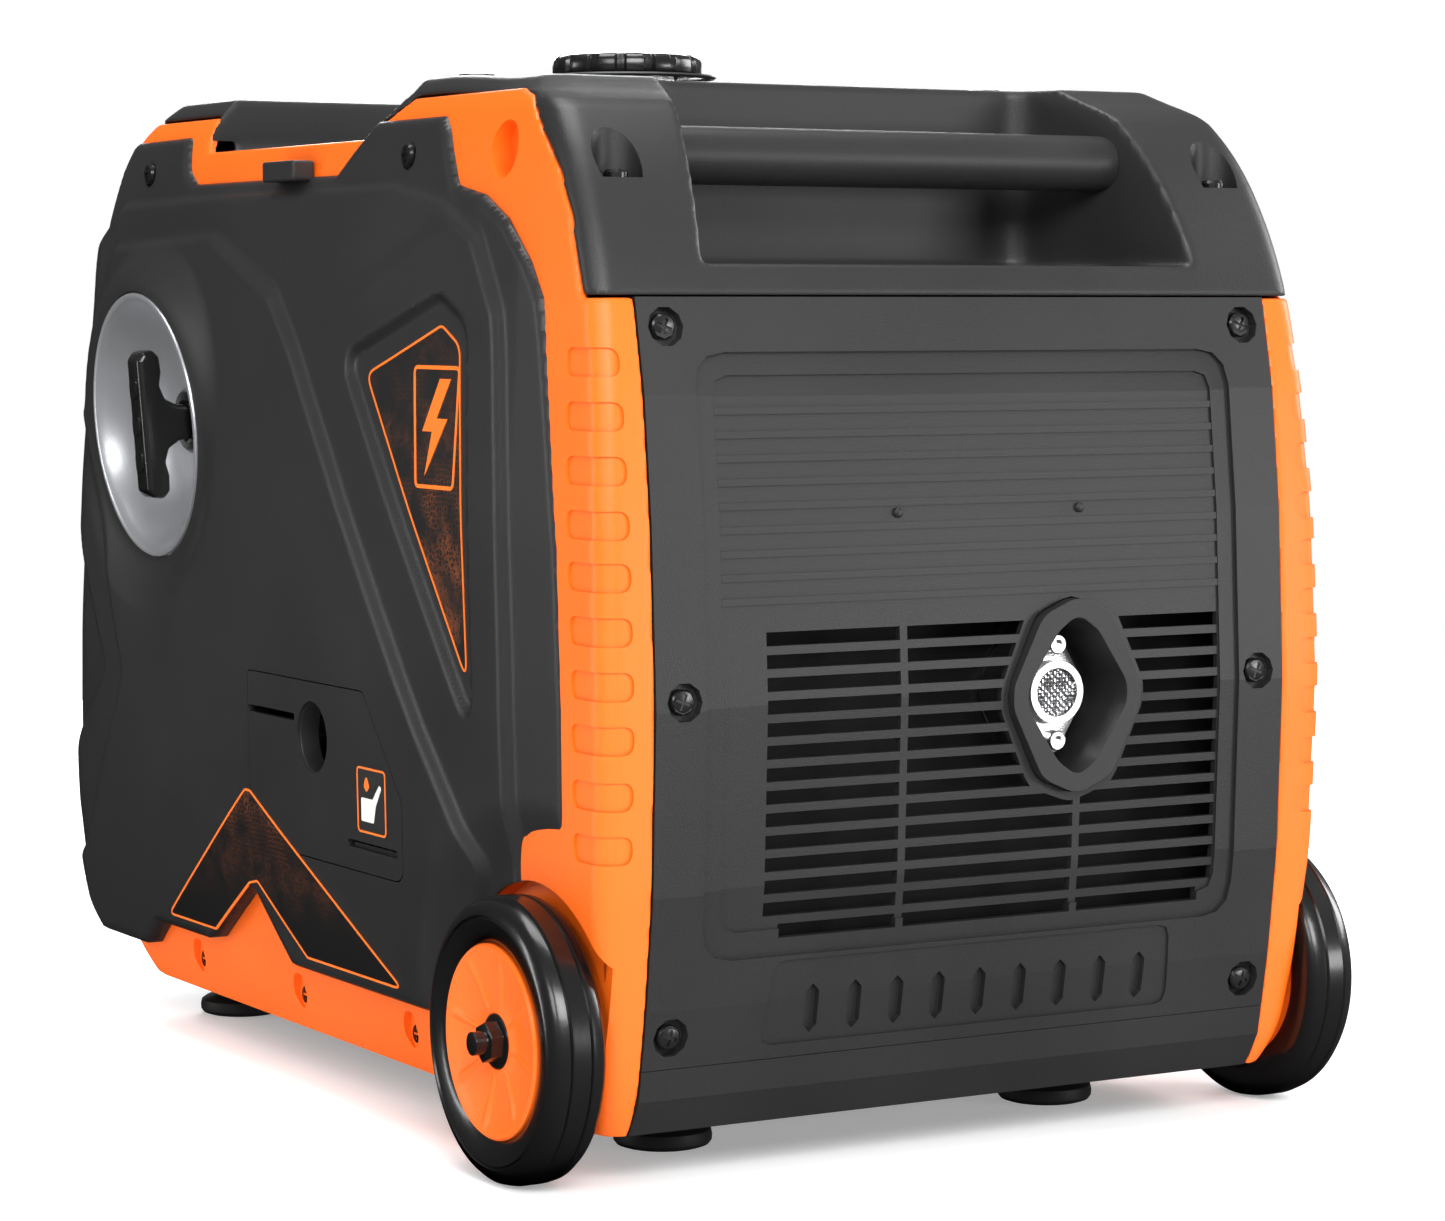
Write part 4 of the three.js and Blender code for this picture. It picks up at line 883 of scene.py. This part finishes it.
cap = spun("z", (CAP_X, CAP_Y), [(11.4, 497.4), (11.4, 499.2), (12.2, 499.8), (27.5, 500.0), (29.5, 499.6),
                            (32.4, 499.2),
                            (34.0, 498.2), (35.0, 496.4), (35.0, 494), (35.0, 491.6), (34.2, 490.3),
                            (31.6, 490.3), (31.6, 496.6),
                            (11.4, 496.6)], 384, cap_relief)
add(cap, prism("z", circle(CAP_X, CAP_Y, 11.8, 64), 496.6, 497.3))
piece(cap, "filler_cap", "black", "fuel_cap", replaces=["fuel_cap"], angle=40)
knob = turned("z", (CAP_X, CAP_Y), [(0, 497.4), (10.8, 497.4), (10.8, 500.2), (9.8, 501.0), (6.5, 501.3),
                               (0, 501.3)], 64)
cut(knob, box(CAP_X - 9, CAP_X + 9, CAP_Y + 2.4, CAP_Y + 12, 499.6, 503),
    box(CAP_X - 9, CAP_X + 9, CAP_Y - 12, CAP_Y - 2.4, 499.6, 503))
piece(bevel(knob, 0.5), "vent_knob", "black", "cap_vent_knob", replaces=["cap_vent_knob"])
well = turned("z", (CAP_X, CAP_Y), [(36.5, 488.6), (41.0, 488.6), (42.0, 489.4), (41.0, 490.2), (37.4, 490.2),
                               (36.5, 489.6)], 96)
piece(well, "filler_well_ring", "dark")

# ------------------------------------------------------------------ exhaust end
BX, BZ = -50.5, 207.5


def lobed(g):
    return rounded([
        (BX, BZ + 46 + g), (BX + 20 + g, BZ + 38 + g), (BX + 36 + g, BZ + 5), (BX + 36 + g, BZ - 5),
        (BX + 20 + g, BZ - 38 - g), (BX, BZ - 46 - g), (BX - 20 - g, BZ - 38 - g), (BX - 36 - g, BZ - 5),
        (BX - 36 - g, BZ + 5), (BX - 20 - g, BZ + 38 + g)], 15, 8)


bezel = cut(add(prism("y", lobed(-1), 303.6, 310), prism("y", lobed(-5), 276, 306)),
            prism("y", lobed(-9), 260, 330))
piece(bevel(bezel, 1.6, 4, 50), "exhaust_surround", "dark", replaces=["exhaust_bezel"])
plate = prism("y", rounded([(BX, BZ + 33), (BX + 20, BZ), (BX, BZ - 33), (BX - 20, BZ)], [7, 16, 7, 16], 8),
              285, 288.6)
add(plate, prism("y", circle(BX, BZ, 14.5, 64), 288, 293.4))
cut(plate, prism("y", circle(BX, BZ, 11, 64), 270, 300))
piece(bevel(plate, 0.8, 3, 50), "exhaust_plate", "steel", replaces=["exhaust_flange"])
for dz, tag in ((22.0, "upper"), (-22.0, "lower")):
    bolt = turned("y", (BX, BZ + dz), [(0, 288.2), (6.0, 288.2), (6.0, 289.2), (4.6, 289.3), (4.6, 293.4),
                                       (4.0, 294.2), (0, 294.2)], 40)
    cut(bolt, prism("y", circle(BX, BZ + dz, 2.5, 6), 291.8, 300))
    piece(bolt, f"exhaust_bolt_{tag}", "steel")
MESH_PITCH, WIRE_R, MESH_R, MESH_Y = 1.65, 0.42, 10.9, 291.3
wires = []
for k in range(-6, 7):
    for along in (0, 1):
        reach = math.sqrt(max(MESH_R ** 2 - (k * MESH_PITCH) ** 2, 1.0))
        steps = max(8, int(reach * 2))
        path = []
        for q in range(steps + 1):
            a = -reach + 2 * reach * q / steps
            wave = WIRE_R * math.cos(math.pi * a / MESH_PITCH + (math.pi if along else 0) + math.pi * k)
            across = k * MESH_PITCH
            path.append((BX + (across if along else a), MESH_Y + wave, BZ + (a if along else across)))
        wires.append((path, along))
verts, faces = [], []
for path, along in wires:
    base = len(verts)
    for px, py, pz in path:
        for i in range(6):
            c, d = WIRE_R * math.cos(i * math.pi / 3), WIRE_R * math.sin(i * math.pi / 3)
            verts.append((px + (d if along else 0), py + c, pz + (0 if along else d)))
    for q in range(len(path) - 1):
        faces += [(base + q * 6 + i, base + q * 6 + (i + 1) % 6, base + q * 6 + 6 + (i + 1) % 6,
                   base + q * 6 + 6 + i)
                  for i in range(6)]
    faces += [tuple(base + i for i in range(6)), tuple(base + (len(path) - 1) * 6 + i for i in range(6))]
piece(make("mesh", verts, faces), "exhaust_mesh", "steel", replaces=["exhaust_screen"])
# dark duct wall close behind the louvres
duct = cut(prism("y", round_rect(-160, 160, 98, 262, 10), 266, 269),
           prism("y", circle(BX, BZ, 26, 48), 250, 280))
piece(bevel(duct, 0.6), "louvre_duct", "tank")
for s in (-1, 1):
    for x, z in ((153.5, 374), (153, 214), (154, 68)):
        y = float(np.interp(z, FINE_Z, REAR)) - 1.2
        head = turned("y", (s * x, z), [(0, y - 3), (5.7, y - 3), (5.7, y - 0.9), (4.9, y - 0.1),
                                        (2.5, y + 0.35), (0, y + 0.45)], 40)
        for a in (20, 110):
            bar = prism("y", [(s * x + r * math.cos(math.radians(a)) - q * math.sin(math.radians(a)),
                               z + r * math.sin(math.radians(a)) + q * math.cos(math.radians(a)))
                              for r, q in ((-3.6, -0.7), (3.6, -0.7), (3.6, 0.7), (-3.6, 0.7))], y - 1.4,
                              y + 4)
            cut(head, bar)
        piece(head, f"rear_screw_{'right' if s > 0 else 'left'}_{int(z)}", "black")
for x in (41.4, -55.8):
    pip = turned("y", (x, 292), [(0, 300), (2.2, 300), (2.2, 302.8), (1.4, 303.8), (0, 304.1)], 24)
    piece(pip, f"rear_pip_{'right' if x > 0 else 'left'}", "dark")

# ------------------------------------------------------------------ bars and feet
bar = turned("x", (231, 449.5), [(0, -119), (12.2, -119), (13, -118), (13, 118), (12.2, 119), (0, 119)], 72)
piece(bar, "rear_carry_bar", "dark", replaces=["carry_bar"])
for node, (x, y) in (("rear", (106, 205)), ("front", (133, -213))):
    for s, tag in ((1, "right"), (-1, "left")):
        foot = turned("z", (s * x, y), [(0, 0.2), (19, 0.2), (21.4, 1.0), (22.6, 2.6), (22.8, 5),
                                        (22.2, 7.6), (20, 9.2),
                                        (16, 10.6), (14.6, 13), (13.6, 23.6), (0, 23.6)], 72)
        piece(foot, f"foot_pad_{node}_{tag}", "rubber", replaces=[f"foot_{node}_{tag}"])

# screws in the cover ears and in the orange sill
for y, where in EARS:
    screw = turned("x", (y, EAR_Z), [(0, 183.0), (5.6, 183.0), (5.6, 185.4), (4.8, 186.6), (0, 187.2)], 36)
    cut(screw, box(186, 190, y - 3.4, y + 3.4, 451.3, 452.7), box(186, 190, y - 0.7, y + 0.7, 448.6, 455.4))
    piece(screw, f"ear_screw_{where}_right", "black")
    piece(mirrored(screw), f"ear_screw_{where}_left", "black")
for y, where in SILL_SCREWS:
    x = float(width_at(SILL_Z))
    screw = turned("x", (y, SILL_Z), [(0, x - 6.5), (5.0, x - 6.5), (5.0, x - 3.4), (4.2, x - 2.4),
                                  (0, x - 2.0)], 36)
    cut(screw, box(x - 3.2, x + 2, y - 3.0, y + 3.0, 41.4, 42.6),
        box(x - 3.2, x + 2, y - 0.6, y + 0.6, 39, 45))
    piece(screw, f"sill_screw_{where}_right", "black")
    piece(mirrored(screw), f"sill_screw_{where}_left", "black")

# ------------------------------------------------------------------ carried-over nodes
for name, ob in NODES.items():
    ob.data.materials.clear()
    ob.data.materials.append(MATS[SLOT_OF[name]])
    shade(ob)
for name, amount in (("rear_panel", 0.55), ("front_panel", 1.0), ("control_face", 0.8),
                     ("outlet_duplex_a", 0.6),
                     ("outlet_duplex_b", 0.6), ("outlet_round", 0.7), ("dc_socket", 0.6), ("breaker_a", 0.6),
                     ("breaker_b", 0.6), ("reset_button", 0.6), ("start_button", 0.8),
                     ("fuel_switch_knob", 1.0),
                     ("eco_switch", 0.6), ("display", 0.7), ("ground_terminal", 0.6), ("pull_handle", 1.0),
                     ("base_tray", 0.8), ("muffler", 1.5)):
    bevel(NODES[name], amount, 2, 38)

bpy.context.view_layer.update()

# ------------------------------------------------------------------ floor, part of the stage
FLOOR_HALF = 1.9
floor_mesh = bpy.data.meshes.new("floor")
corners = [(x * FLOOR_HALF, y * FLOOR_HALF, 0) for x, y in ((-1, -1), (1, -1), (1, 1), (-1, 1))]
floor_mesh.from_pydata(corners, [], [(0, 1, 2, 3)])
floor = bpy.data.objects.new("floor", floor_mesh)
bpy.context.scene.collection.objects.link(floor)
paper = material("studio_floor", (0.92, 0.92, 0.92), 0.8, grain=60, bump=0.02, vary=0.01, spec=0.1)
socket(paper.node_tree.nodes["Principled BSDF"], "Emission Color", (1.0, 1.0, 1.0, 1.0))
socket(paper.node_tree.nodes["Principled BSDF"], "Emission Strength", 0.30)
floor_mesh.materials.append(paper)
floor.visible_glossy = False
